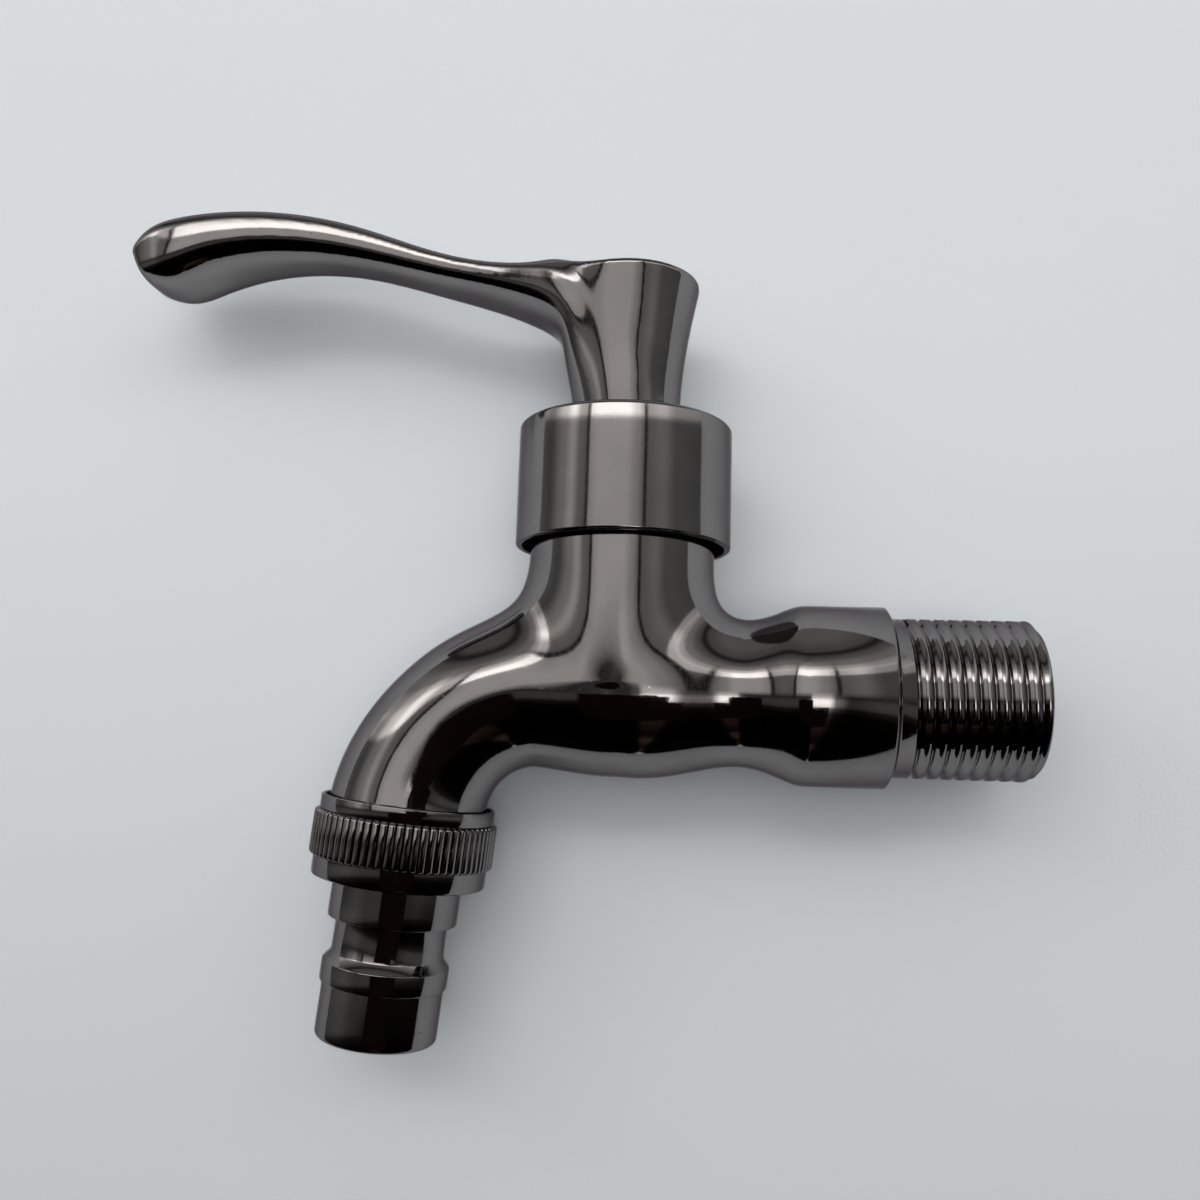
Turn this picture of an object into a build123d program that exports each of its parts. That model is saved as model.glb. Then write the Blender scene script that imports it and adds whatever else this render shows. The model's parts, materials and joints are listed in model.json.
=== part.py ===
from build123d import *
import math
import os

# A quarter-turn bib tap: cast body, ceramic disc headwork under a thin bonnet ring,
# lever handle, and a knurled nut that holds a stepped hose nozzle on the spout.
# Millimetres, +Z up along the spindle, +X along the inlet towards the wall.
# The origin is the centre of the inlet thread, where its first turn meets the plain band.

os.makedirs("parts", exist_ok=True)

# Inlet end: a G 1/2 male thread, fourteen turns to the inch, with flattened crests.
thread_pitch = 25.4 / 14
inlet_crest_d = 20.7
inlet_thread_depth = 1.0
inlet_thread_length = 15.3
inlet_end_chamfer = 0.9
thread_root_flat = 0.2
thread_groove_width = 1.0
plain_band_length = 2.5
inlet_bore_d = 13.0
collar_d = 23.7
collar_chamfer_length = 1.0

# Body run between the spindle and the collar, measured from the spindle axis.
spindle_to_thread = 38.0
waist_from_spindle = 16.9
waist_d = 19.3
waist_shoulder_length = 3.8
waist_shoulder_d = 21.4
belly_from_spindle = 2.4
belly_d = 22.7
bend_from_spindle = 10.1
bend_start_d = 20.6
run_wall = 3.3

# Neck that takes the headwork.
neck_root_inset = 0.45
neck_straight_from = 13.0
neck_top = 27.0
neck_blend = 4.8
neck_bore_d = 20.4
neck_thread_length = 11.2
chamber_d = 18.0
seat_height = 1.5
port_d = 8.4
duct_drop = 4.2

# Spout and its screwed end. Distances "along the outlet" start at the nut's upper rim.
outlet_reach = 27.84
outlet_drop = 15.55
outlet_tilt = 5.4
bend_start_handle = 9.2
bend_end_handle = 7.5
bend_end_tilt = 8.0
bend_end_shift = 0.05
spout_middle_d = 19.8
spout_end_d = 21.0
spout_plain_end = 2.0
waterway_d = 13.2
outlet_thread_step = 0.2
outlet_spill = 0.8

# Headwork.
running_fit = 0.03
thread_clearance = 0.05
seal_clearance = 0.01
gasket_thickness = 1.0
headwork_hex_af = 20.5
headwork_hex_height = 5.0
flange_thickness = 1.2
barrel_chamfer = 0.8
boss_d = 13.0
boss_height = 3.0
skirt_gap = 0.4
skirt_wall = 1.6
skirt_lift = 0.7
window_height = 3.6
window_width = 9.0
gasket_outer_d = 23.0
gasket_width = 2.5
bonnet_seal_groove_depth = 0.8
bonnet_seal_groove_width = 1.3

# Spindle and what turns with it.
spindle_d = 9.0
spindle_flange_gap = 0.2
spindle_flange_thickness = 2.41
thrust_washer_thickness = 0.9
tongue_width = 3.0
tongue_inset = 1.3
tongue_depth = 1.0
o_ring_groove_depth = 1.0
o_ring_groove_width = 1.3
o_ring_drops = (7.0, 1.0)
clip_thickness = 0.9
clip_outer_d = 11.2
clip_groove_depth = 0.8
clip_gap = 5.4
spline_teeth = 20
spline_inset = 0.6
spline_depth = 0.4
spline_rise = 2.0
spline_length = 8.0
screw_hole_d = 4.0
screw_hole_spare = 2.3

# Ceramic discs and the seal under them.
disc_gap = 0.15
disc_thickness = 3.0
disc_port_inner_d = 3.2
disc_rim = 1.65
disc_port_angle = 76.0
lug_width = 2.0
lug_inset = 0.3
seal_thickness = 2.5
seal_gap = 0.3
seal_width = 1.4
support_width = 1.0
support_drop = 0.6

# Bonnet ring.
bonnet_d = 29.3
bonnet_wall = 0.9
bonnet_gap = 1.3
bonnet_height = 16.6
bonnet_sleeve_length = 2.8
bonnet_plate = 1.2
bonnet_sleeve_wall = 1.6
bonnet_fit = 0.1
bonnet_top_round = 0.6
bonnet_rim_round = 0.35

# Lever handle.
hub_lift = 0.6
hub_foot_d = 14.6
hub_middle_d = 16.8
hub_middle_rise = 12.6
hub_rim_d = 19.9
hub_height = 20.5
hub_rim_round = 0.5
clip_room = 0.5
socket_lift = 0.3
hub_web_gap = 0.5
hub_web_thickness = 3.0
screw_side_gap = 0.25
screw_well_gap = 0.6
cap_d = 12.0
cap_thickness = 1.4
cap_skirt = 2.0
cap_skirt_wall = 0.9
cap_edge_round = 0.3
cap_clearance = 0.05
arm_shoulder = 0.4
arm_clearance = 4.0
arm_end_round = 2.5
# Arm stations: underside point and crown point, each as distance from the spindle and
# height above the hub's foot, then the half width along the underside and the half width at the widest.
arm_stations = (
    ((7.0, 6.0), (1.5, 10.1), 2.2, 5.2),
    ((8.0, 9.9), (3.6, 16.8), 3.0, 6.0),
    ((9.8, 13.6), (8.8, 22.2), 3.7, 6.2),
    ((14.9, 16.6), (14.6, 22.7), 4.1, 5.9),
    ((27.0, 20.4), (27.0, 24.9), 3.4, 4.8),
    ((39.0, 23.4), (39.2, 29.2), 3.4, 4.8),
    ((52.0, 24.1), (53.0, 31.4), 4.5, 6.0),
    ((62.0, 21.7), (65.0, 30.6), 5.4, 6.9),
    ((67.4, 20.3), (70.6, 28.6), 4.9, 6.2),
    ((70.9, 21.1), (73.0, 26.3), 3.0, 4.2),
)

# Handle screw.
screw_head_d = 7.6
screw_head_height = 2.6
screw_reach = 7.7
screw_drive_af = 2.5
screw_drive_depth = 1.5
screw_head_round = 0.5
screw_point_chamfer = 0.4
lock_washer_thickness = 0.8
lock_washer_side_gap = 0.2
lock_washer_split = 0.5

# Knurled nut.
nut_length = 10.4
nut_rim_wall = 0.5
nut_rim_length = 1.9
knurl_height = 0.55
knurl_length = 5.9
knurl_ribs = 72
knurl_depth = 0.45
nut_band_step = 0.1
nut_mouth_gap = 0.6
nut_mouth_spare = 0.4
nut_thread_clearance = 0.06
nut_lip_thickness = 1.3
nut_lip_gap = 0.25
nut_edge_chamfer = 0.4

# Hose nozzle and its washer.
washer_thickness = 1.5
washer_side_gap = 0.26
washer_bore_gap = 0.1
nozzle_flange_thickness = 1.17
nozzle_shank_d = 17.0
nozzle_shank_length = 5.1
nozzle_waist_d = 14.7
nozzle_waist_length = 4.4
nozzle_flare_length = 1.1
nozzle_barb_d = 16.7
nozzle_barb_length = 2.65
nozzle_tail_d = 15.9
nozzle_tail_length = 6.95
nozzle_bore_d = 11.8
nozzle_end_round = 0.6

# Diameters that fit one another.
neck_d = bonnet_d - 2 * (bonnet_wall + bonnet_gap)
neck_root_d = belly_d - 2 * neck_root_inset
skirt_d = chamber_d - 2 * skirt_gap
cavity_d = skirt_d - 2 * skirt_wall
disc_d = cavity_d - 2 * disc_gap
disc_port_outer_d = disc_d - 2 * disc_rim
lug_reach = skirt_d / 2 - lug_inset
seal_outer_d = cavity_d - 2 * seal_gap
seal_inner_d = seal_outer_d - 2 * seal_width
support_inner_d = seal_inner_d - 2 * support_width
thrust_washer_d = cavity_d - 2 * seal_gap
spindle_flange_d = cavity_d - 2 * spindle_flange_gap
tongue_length = spindle_flange_d - 2 * tongue_inset
o_ring_groove_d = spindle_d - 2 * o_ring_groove_depth
clip_groove_d = spindle_d - 2 * clip_groove_depth
spline_tip_d = spindle_d - 2 * spline_inset
spline_root_d = spline_tip_d - 2 * spline_depth
gasket_inner_d = gasket_outer_d - 2 * gasket_width
bonnet_bore_d = boss_d + 2 * bonnet_fit
bonnet_sleeve_d = bonnet_bore_d + 2 * bonnet_sleeve_wall
bonnet_seal_groove_d = boss_d - 2 * bonnet_seal_groove_depth
hub_skirt_bore_d = clip_outer_d + 2 * clip_room
screw_d = screw_hole_d - 2 * thread_clearance
screw_passage_d = screw_d + 2 * screw_side_gap
screw_well_d = screw_head_d + 2 * screw_well_gap
lock_washer_outer_d = screw_head_d - 2 * lock_washer_side_gap
lock_washer_inner_d = screw_d + 2 * lock_washer_side_gap
outlet_thread_d = spout_end_d - 2 * outlet_thread_step
nut_bore_d = outlet_thread_d + 2 * nut_thread_clearance
nut_mouth_d = spout_end_d + 2 * nut_mouth_gap
nut_rim_d = nut_mouth_d + 2 * nut_rim_wall
nut_band_d = nut_rim_d - 2 * nut_band_step
knurl_d = nut_rim_d + 2 * knurl_height
nut_lip_bore_d = nozzle_shank_d + 2 * nut_lip_gap
washer_outer_d = nut_bore_d - 2 * washer_side_gap
washer_inner_d = waterway_d + 2 * washer_bore_gap
nozzle_flange_d = washer_outer_d

# Heights up the spindle, each from what the piece stands on.
skirt_from = seat_height + skirt_lift
fixed_disc_from = seat_height + seal_thickness
support_height = seal_thickness - support_drop
moving_disc_from = fixed_disc_from + disc_thickness + running_fit
moving_disc_top = moving_disc_from + disc_thickness
spindle_flange_from = moving_disc_top + running_fit
spindle_flange_top = spindle_flange_from + spindle_flange_thickness
cavity_top = spindle_flange_top + running_fit + thrust_washer_thickness
neck_thread_from = neck_top - neck_thread_length
headwork_flange_from = neck_top + gasket_thickness
headwork_hex_top = headwork_flange_from + headwork_hex_height
headwork_top = headwork_hex_top + boss_height
bonnet_seal_height = headwork_hex_top + boss_height / 2
bonnet_top = headwork_hex_top + bonnet_sleeve_length
bonnet_from = bonnet_top - bonnet_height
clip_from = headwork_top + thread_clearance
spline_from = headwork_top + spline_rise
spindle_top = spline_from + spline_length
hub_from = bonnet_top + hub_lift
hub_middle_height = hub_from + hub_middle_rise
hub_top = hub_from + hub_height
hub_socket_from = spline_from + socket_lift
hub_web_from = spindle_top + hub_web_gap
hub_web_top = hub_web_from + hub_web_thickness
screw_head_from = hub_web_top + lock_washer_thickness
screw_length = screw_head_from - spindle_top + screw_reach
screw_hole_depth = screw_reach + screw_hole_spare

# Distances down the outlet from the nut's upper rim.
nut_mouth_depth = spout_plain_end + nut_mouth_spare
nut_lip_from = nut_length - nut_lip_thickness
nozzle_flange_end = nut_lip_from - running_fit
washer_end = nozzle_flange_end - nozzle_flange_thickness
outlet_thread_end = washer_end - washer_thickness
nozzle_shank_end = nut_length + nozzle_shank_length
nozzle_waist_end = nozzle_shank_end + nozzle_waist_length
nozzle_flare_end = nozzle_waist_end + nozzle_flare_length
nozzle_barb_end = nozzle_flare_end + nozzle_barb_length
nozzle_end = nozzle_barb_end + nozzle_tail_length

# Planes and places that the pieces share.
spindle_x = -spindle_to_thread
spindle_section = Plane(origin=(spindle_x, 0, 0), x_dir=(1, 0, 0), z_dir=(0, -1, 0))
spindle_axis = Axis((spindle_x, 0, 0), (0, 0, 1))
tilt = math.radians(outlet_tilt)
outlet_origin = Vector(spindle_x - outlet_reach, 0, -outlet_drop)
outlet_direction = Vector(-math.sin(tilt), 0, -math.cos(tilt))
outlet_side = Vector(math.cos(tilt), 0, -math.sin(tilt))
outlet_section = Plane(origin=outlet_origin, x_dir=outlet_side, z_dir=(0, 1, 0))
outlet_axis = Axis(outlet_origin, outlet_direction)


def level(height):
    """A plane square to the spindle at one height."""
    return Plane(origin=(spindle_x, 0, height), x_dir=(1, 0, 0), z_dir=(0, 0, 1))


def along_outlet(distance):
    """A plane square to the outlet axis, facing down it."""
    return Plane(origin=outlet_origin + outlet_direction * distance, x_dir=outlet_side, z_dir=outlet_direction)


def save(piece, name):
    """Label a finished piece and write it out under its own name."""
    piece.part.label = name
    export_step(piece.part, f"parts/{name}.step")


# Centreline of the spout: level where it leaves the run, along the outlet where it ends.
with BuildLine() as spout_line:
    bend_start = Vector(spindle_x - bend_from_spindle, 0, 0)
    bend_end = outlet_origin + outlet_side * bend_end_shift
    end_slope = math.radians(bend_end_tilt)
    start_handle = Vector(-bend_start_handle, 0, 0)
    end_handle = Vector(math.sin(end_slope), 0, math.cos(end_slope)) * bend_end_handle
    Bezier(bend_start, bend_start + start_handle, bend_end + end_handle, bend_end)
spout_path = spout_line.edges()[0]

# Round stations of the body's skin, along the run and then down the spout.
run_stations = (
    (waist_from_spindle + 2 * waist_shoulder_length, collar_d),
    (waist_from_spindle + waist_shoulder_length, waist_shoulder_d),
    (waist_from_spindle, waist_d),
    ((waist_from_spindle + belly_from_spindle) / 2, (waist_d + belly_d) / 2),
    (belly_from_spindle, belly_d),
    ((belly_from_spindle - bend_from_spindle) / 2, (belly_d + bend_start_d) / 2),
)
spout_stations = (
    (0.0, bend_start_d),
    (0.3, (bend_start_d + spout_middle_d) / 2),
    (0.55, spout_middle_d),
    (0.78, (2 * spout_middle_d + spout_end_d) / 3),
    (0.91, (spout_middle_d + 2 * spout_end_d) / 3),
    (1.0, spout_end_d),
)


def run_circle(distance, diameter):
    """A round section of the run, at a distance from the spindle towards the wall."""
    with BuildSketch(Plane((spindle_x + distance, 0, 0), (0, 0, -1), (-1, 0, 0))) as section:
        Circle(diameter / 2)
    return section.sketch


def spout_circle(fraction, diameter):
    """A round section of the spout, square to its centreline."""
    aim = spout_path % fraction
    with BuildSketch(Plane(spout_path @ fraction, aim.cross(Vector(0, 1, 0)), aim)) as section:
        Circle(diameter / 2)
    return section.sketch


def ring_profile(plane, inner_d, outer_d, middle, width):
    """The section of a plain ring, on a plane whose first axis is the radius."""
    with BuildSketch(plane) as section:
        with Locations(((inner_d + outer_d) / 4, middle)):
            Rectangle((outer_d - inner_d) / 2, width)
    return section.sketch


def o_ring_profile(plane, inner_d, outer_d, middle):
    """The round section of a seal that just fills the space between two diameters."""
    with BuildSketch(plane) as section:
        with Locations(((inner_d + outer_d) / 4, middle)):
            Circle((outer_d - inner_d) / 4 - seal_clearance)
    return section.sketch


def toothed_outline(plane, tip_d, root_d, teeth):
    """A closed outline of pointed teeth all round."""
    points = []
    for step in range(2 * teeth):
        radius = (tip_d if step % 2 == 0 else root_d) / 2
        angle = math.pi * step / teeth
        points.append((radius * math.cos(angle), radius * math.sin(angle)))
    with BuildSketch(plane) as section:
        with BuildLine():
            Polyline(*points, close=True)
        make_face()
    return section.sketch


# One turn of the inlet thread's groove.
with BuildPart() as inlet_groove:
    with BuildLine() as groove_line:
        Helix(thread_pitch, thread_pitch, inlet_crest_d / 2, direction=(1, 0, 0))
    groove_path = groove_line.wires()[0]
    groove_start = groove_path @ 0
    groove_over = thread_root_flat
    groove_slope = (thread_groove_width - thread_root_flat) / 2 / inlet_thread_depth
    groove_half = thread_groove_width / 2 + groove_slope * groove_over
    with BuildSketch(Plane(groove_start, Vector(0, groove_start.Y, groove_start.Z), groove_path % 0)):
        with BuildLine():
            Polyline(
                (groove_over, groove_half),
                (groove_over, -groove_half),
                (-inlet_thread_depth, -thread_root_flat / 2),
                (-inlet_thread_depth, thread_root_flat / 2),
                close=True,
            )
        make_face()
    sweep(path=groove_path, is_frenet=True)

# Body: one skin along run and spout, the neck turned about the spindle, then the waterways.
with BuildPart() as tap_body:
    run_circles = [run_circle(distance, diameter) for distance, diameter in run_stations]
    spout_circles = [spout_circle(fraction, diameter) for fraction, diameter in spout_stations]
    loft(run_circles + spout_circles)
    with BuildSketch(spindle_section):
        with BuildLine():
            Polyline(
                (0, seat_height - neck_root_d / 2),
                (0, neck_top),
                (neck_d / 2, neck_top),
                (neck_d / 2, neck_straight_from),
                (neck_root_d / 2, 0),
            )
            RadiusArc((neck_root_d / 2, 0), (0, seat_height - neck_root_d / 2), neck_root_d / 2)
        make_face()
    revolve(axis=spindle_axis)
    neck_joint = (
        tap_body.edges()
        .filter_by(GeomType.BSPLINE)
        .filter_by(lambda edge: edge.bounding_box().min.Z > 0)
    )
    fillet(neck_joint, neck_blend)

    collar_start_x = spindle_x + waist_from_spindle + 2 * waist_shoulder_length
    collar_end_x = -plain_band_length - collar_chamfer_length
    with BuildSketch(Plane.XZ):
        with BuildLine():
            Polyline(
                (collar_start_x, 0),
                (collar_start_x, collar_d / 2),
                (collar_end_x, collar_d / 2),
                (-plain_band_length, inlet_crest_d / 2),
                (inlet_thread_length - inlet_end_chamfer, inlet_crest_d / 2),
                (inlet_thread_length, inlet_crest_d / 2 - inlet_end_chamfer),
                (inlet_thread_length, 0),
                close=True,
            )
        make_face()
    revolve(axis=Axis.X)
    for turn in range(math.ceil(inlet_thread_length / thread_pitch) + 1):
        with Locations(((turn - 0.5) * thread_pitch, 0, 0)):
            add(inlet_groove.part, mode=Mode.SUBTRACT)

    outlet_end_plane = along_outlet(0)
    with BuildSketch(outlet_end_plane):
        Circle(spout_end_d / 2)
    extrude(amount=spout_plain_end)
    with BuildSketch(along_outlet(spout_plain_end)):
        Circle(outlet_thread_d / 2)
    extrude(amount=outlet_thread_end - spout_plain_end)

    # Inlet bore, the duct under the seat and the port up through it.
    bore_end_x = spindle_x + chamber_d / 2 + run_wall
    with BuildSketch(Plane.YZ.offset(inlet_thread_length)):
        Circle(inlet_bore_d / 2)
    extrude(amount=bore_end_x - inlet_thread_length, mode=Mode.SUBTRACT)
    with BuildSketch(Plane.YZ.offset(bore_end_x)):
        with Locations((0, -duct_drop)):
            Circle(port_d / 2)
    extrude(amount=spindle_x - bore_end_x, mode=Mode.SUBTRACT)
    with BuildSketch(level(-duct_drop)):
        Circle(port_d / 2)
    extrude(amount=seat_height + duct_drop, mode=Mode.SUBTRACT)
    with Locations((spindle_x, 0, -duct_drop)):
        Sphere(port_d / 2, mode=Mode.SUBTRACT)

    # Chamber round the headwork, its threaded mouth and the way down the spout.
    with BuildSketch(level(seat_height)):
        Circle(chamber_d / 2)
    extrude(amount=neck_top - seat_height, mode=Mode.SUBTRACT)
    with BuildSketch(level(neck_thread_from)):
        Circle(neck_bore_d / 2)
    extrude(amount=neck_top - neck_thread_from, mode=Mode.SUBTRACT)
    loft(
        [spout_circle(fraction, waterway_d) for fraction, _ in spout_stations],
        mode=Mode.SUBTRACT,
    )
    waterway_reach = bend_from_spindle - chamber_d / 2 + outlet_spill
    with BuildSketch(Plane.YZ.offset(bend_start.X)):
        Circle(waterway_d / 2)
    extrude(amount=waterway_reach, mode=Mode.SUBTRACT)
    with BuildSketch(outlet_end_plane):
        Circle(waterway_d / 2)
    extrude(amount=outlet_thread_end, mode=Mode.SUBTRACT)

# Headwork body: ported skirt, threaded barrel, hexagon and the boss that centres the ring.
with BuildPart() as cartridge_body:
    barrel_d = neck_bore_d - 2 * thread_clearance
    with BuildSketch(spindle_section):
        with BuildLine():
            Polyline(
                (0, skirt_from),
                (skirt_d / 2, skirt_from),
                (skirt_d / 2, neck_thread_from),
                (barrel_d / 2, neck_thread_from + barrel_chamfer),
                (barrel_d / 2, neck_top - barrel_chamfer),
                (gasket_inner_d / 2 - thread_clearance, neck_top),
                (gasket_inner_d / 2 - thread_clearance, headwork_flange_from),
                (gasket_outer_d / 2, headwork_flange_from),
                (gasket_outer_d / 2, headwork_flange_from + flange_thickness),
                (boss_d / 2, headwork_flange_from + flange_thickness),
                (boss_d / 2, headwork_top),
                (0, headwork_top),
                close=True,
            )
        make_face()
    revolve(axis=spindle_axis)
    with BuildSketch(level(headwork_flange_from + flange_thickness)):
        RegularPolygon(headwork_hex_af / 2, 6, major_radius=False)
    extrude(amount=headwork_hex_top - headwork_flange_from - flange_thickness)
    bonnet_groove = ring_profile(
        spindle_section, bonnet_seal_groove_d, 2 * boss_d, bonnet_seal_height, bonnet_seal_groove_width
    )
    revolve(bonnet_groove, axis=spindle_axis, mode=Mode.SUBTRACT)
    with BuildSketch(level(skirt_from)):
        Circle(cavity_d / 2)
    extrude(amount=cavity_top - skirt_from, mode=Mode.SUBTRACT)
    with BuildSketch(level(cavity_top)):
        Circle(spindle_d / 2 + running_fit)
    extrude(amount=headwork_top - cavity_top, mode=Mode.SUBTRACT)
    with Locations((spindle_x, 0, moving_disc_from + window_height / 2)):
        Box(2 * skirt_d, window_width, window_height, mode=Mode.SUBTRACT)
    with Locations((spindle_x, 0, (skirt_from + moving_disc_from) / 2)):
        Box(lug_width + 2 * thread_clearance, 2 * skirt_d, moving_disc_from - skirt_from, mode=Mode.SUBTRACT)

# Spindle: driving flange and tongue below, splined head above.
with BuildPart() as spindle:
    with BuildSketch(level(spindle_flange_from)):
        Circle(spindle_flange_d / 2)
    extrude(amount=spindle_flange_top - spindle_flange_from)
    with BuildSketch(level(spindle_flange_top)):
        Circle(spindle_d / 2)
    extrude(amount=spline_from - spindle_flange_top)
    extrude(toothed_outline(level(spline_from), spline_tip_d, spline_root_d, spline_teeth), spindle_top - spline_from)
    with BuildSketch(level(spindle_flange_from)):
        Rectangle(tongue_length, tongue_width)
    extrude(amount=-tongue_depth)
    for drop in o_ring_drops:
        groove = ring_profile(spindle_section, o_ring_groove_d, 2 * spindle_d, neck_top - drop, o_ring_groove_width)
        revolve(groove, axis=spindle_axis, mode=Mode.SUBTRACT)
    clip_middle = clip_from + clip_thickness / 2
    groove = ring_profile(
        spindle_section, clip_groove_d, 2 * spindle_d, clip_middle, clip_thickness + 2 * running_fit
    )
    revolve(groove, axis=spindle_axis, mode=Mode.SUBTRACT)
    with BuildSketch(level(spindle_top)):
        Circle(screw_hole_d / 2)
    extrude(amount=-screw_hole_depth, mode=Mode.SUBTRACT)

# Two equal seals in the spindle's grooves.
with BuildPart() as spindle_o_rings:
    for drop in o_ring_drops:
        bore_d = spindle_d + 2 * running_fit
        revolve(o_ring_profile(spindle_section, o_ring_groove_d, bore_d, neck_top - drop), axis=spindle_axis)

# Open clip that keeps the spindle from dropping.
with BuildPart() as retaining_clip:
    with BuildSketch(level(clip_from)):
        Circle(clip_outer_d / 2)
        Circle(clip_groove_d / 2 + running_fit, mode=Mode.SUBTRACT)
        with Locations((clip_outer_d / 2, 0)):
            Rectangle(clip_outer_d, clip_gap, mode=Mode.SUBTRACT)
    extrude(amount=clip_thickness)

# Slip washer over the spindle's flange.
with BuildPart() as thrust_washer:
    with BuildSketch(level(cavity_top - thrust_washer_thickness)):
        Circle(thrust_washer_d / 2)
        Circle(spindle_d / 2 + thread_clearance, mode=Mode.SUBTRACT)
    extrude(amount=thrust_washer_thickness)


def port_sectors(plane, outer_d, first_angle):
    """Two opposite wedge ports, as the disc pair needs them."""
    half = math.radians(disc_port_angle / 2)
    with BuildSketch(plane) as section:
        for turn in (first_angle, first_angle + 180):
            middle = math.radians(turn)
            corners = [
                (radius * math.cos(middle + side * half), radius * math.sin(middle + side * half))
                for radius, side in (
                    (disc_port_inner_d / 2, -1),
                    (outer_d / 2, -1),
                    (outer_d / 2, 1),
                    (disc_port_inner_d / 2, 1),
                )
            ]
            with BuildLine():
                Line(corners[0], corners[1])
                RadiusArc(corners[1], corners[2], -outer_d / 2)
                Line(corners[2], corners[3])
                RadiusArc(corners[3], corners[0], disc_port_inner_d / 2)
            make_face()
    return section.sketch


# Moving disc: open to its edge, so that the water leaves through the skirt's windows.
with BuildPart() as moving_disc:
    with BuildSketch(level(moving_disc_from)):
        Circle(disc_d / 2)
    extrude(amount=disc_thickness)
    extrude(port_sectors(level(moving_disc_from), 2 * disc_d, 90), disc_thickness, mode=Mode.SUBTRACT)
    with BuildSketch(level(moving_disc_top)):
        Rectangle(tongue_length + 2 * thread_clearance, tongue_width + 2 * thread_clearance)
    extrude(amount=-tongue_depth - running_fit, mode=Mode.SUBTRACT)

# Fixed disc: keyed to the skirt by two lugs.
with BuildPart() as fixed_disc:
    with BuildSketch(level(fixed_disc_from)):
        Circle(disc_d / 2)
        Rectangle(lug_width, 2 * lug_reach)
    extrude(amount=disc_thickness)
    extrude(port_sectors(level(fixed_disc_from), disc_port_outer_d, 0), disc_thickness, mode=Mode.SUBTRACT)

# Rubber seal under the discs, stiffened by a ring inside it.
with BuildPart() as seat_seal:
    with BuildSketch(level(seat_height)):
        Circle(seal_outer_d / 2)
        Circle(seal_inner_d / 2, mode=Mode.SUBTRACT)
    extrude(amount=fixed_disc_from - seat_height)

with BuildPart() as seal_support_ring:
    with BuildSketch(level(seat_height)):
        Circle(seal_inner_d / 2 - thread_clearance)
        Circle(support_inner_d / 2, mode=Mode.SUBTRACT)
    extrude(amount=support_height)

# Flat gasket between the neck and the headwork's flange.
with BuildPart() as headwork_gasket:
    with BuildSketch(level(neck_top)):
        Circle(gasket_outer_d / 2)
        Circle(gasket_inner_d / 2, mode=Mode.SUBTRACT)
    extrude(amount=headwork_flange_from - neck_top)

# Bonnet ring: a thin skirt, open below, whose sleeve stands on the hexagon.
with BuildPart() as bonnet_ring:
    with BuildSketch(spindle_section):
        with BuildLine():
            Polyline(
                (bonnet_d / 2 - bonnet_wall, bonnet_from),
                (bonnet_d / 2, bonnet_from),
                (bonnet_d / 2, bonnet_top),
                (bonnet_bore_d / 2, bonnet_top),
                (bonnet_bore_d / 2, headwork_hex_top),
                (bonnet_sleeve_d / 2, headwork_hex_top),
                (bonnet_sleeve_d / 2, bonnet_top - bonnet_plate),
                (bonnet_d / 2 - bonnet_wall, bonnet_top - bonnet_plate),
                close=True,
            )
        make_face()
    revolve(axis=spindle_axis)
    rims = bonnet_ring.edges().filter_by(GeomType.CIRCLE)
    fillet(rims.group_by(Axis.Z)[0], bonnet_rim_round)
    top_rims = bonnet_ring.edges().filter_by(GeomType.CIRCLE).group_by(Axis.Z)[-1]
    fillet(top_rims.sort_by(SortBy.RADIUS)[-1], bonnet_top_round)

# Seal on the boss that grips the ring's sleeve.
with BuildPart() as bonnet_o_ring:
    revolve(
        o_ring_profile(spindle_section, bonnet_seal_groove_d, bonnet_bore_d, bonnet_seal_height),
        axis=spindle_axis,
    )


def arm_section(underside, crown, flat, half):
    """The arm's section: flat below, domed above, on the plane through two given points."""
    foot = Vector(spindle_x - underside[0], 0, hub_from + underside[1])
    upward = Vector(underside[0] - crown[0], 0, crown[1] - underside[1])
    height = upward.length
    with BuildSketch(Plane(foot, (0, 1, 0), Vector(0, 1, 0).cross(upward))) as section:
        with BuildLine():
            Line((-flat, 0), (flat, 0))
            flank = Spline((flat, 0), (half, arm_shoulder * height), (0, height), tangents=((1, 0), (-1, 0)))
            mirror(flank, about=Plane.YZ)
        make_face()
    return section.sketch


# Arm of the lever: it leaves the hub upwards, bends over the spout and ends in a round.
with BuildPart() as lever_arm:
    loft([arm_section(*station) for station in arm_stations])
    arm_end = lever_arm.faces().filter_by(GeomType.PLANE).sort_by(Axis.X)[0]
    fillet(arm_end.edges(), arm_end_round)

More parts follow.
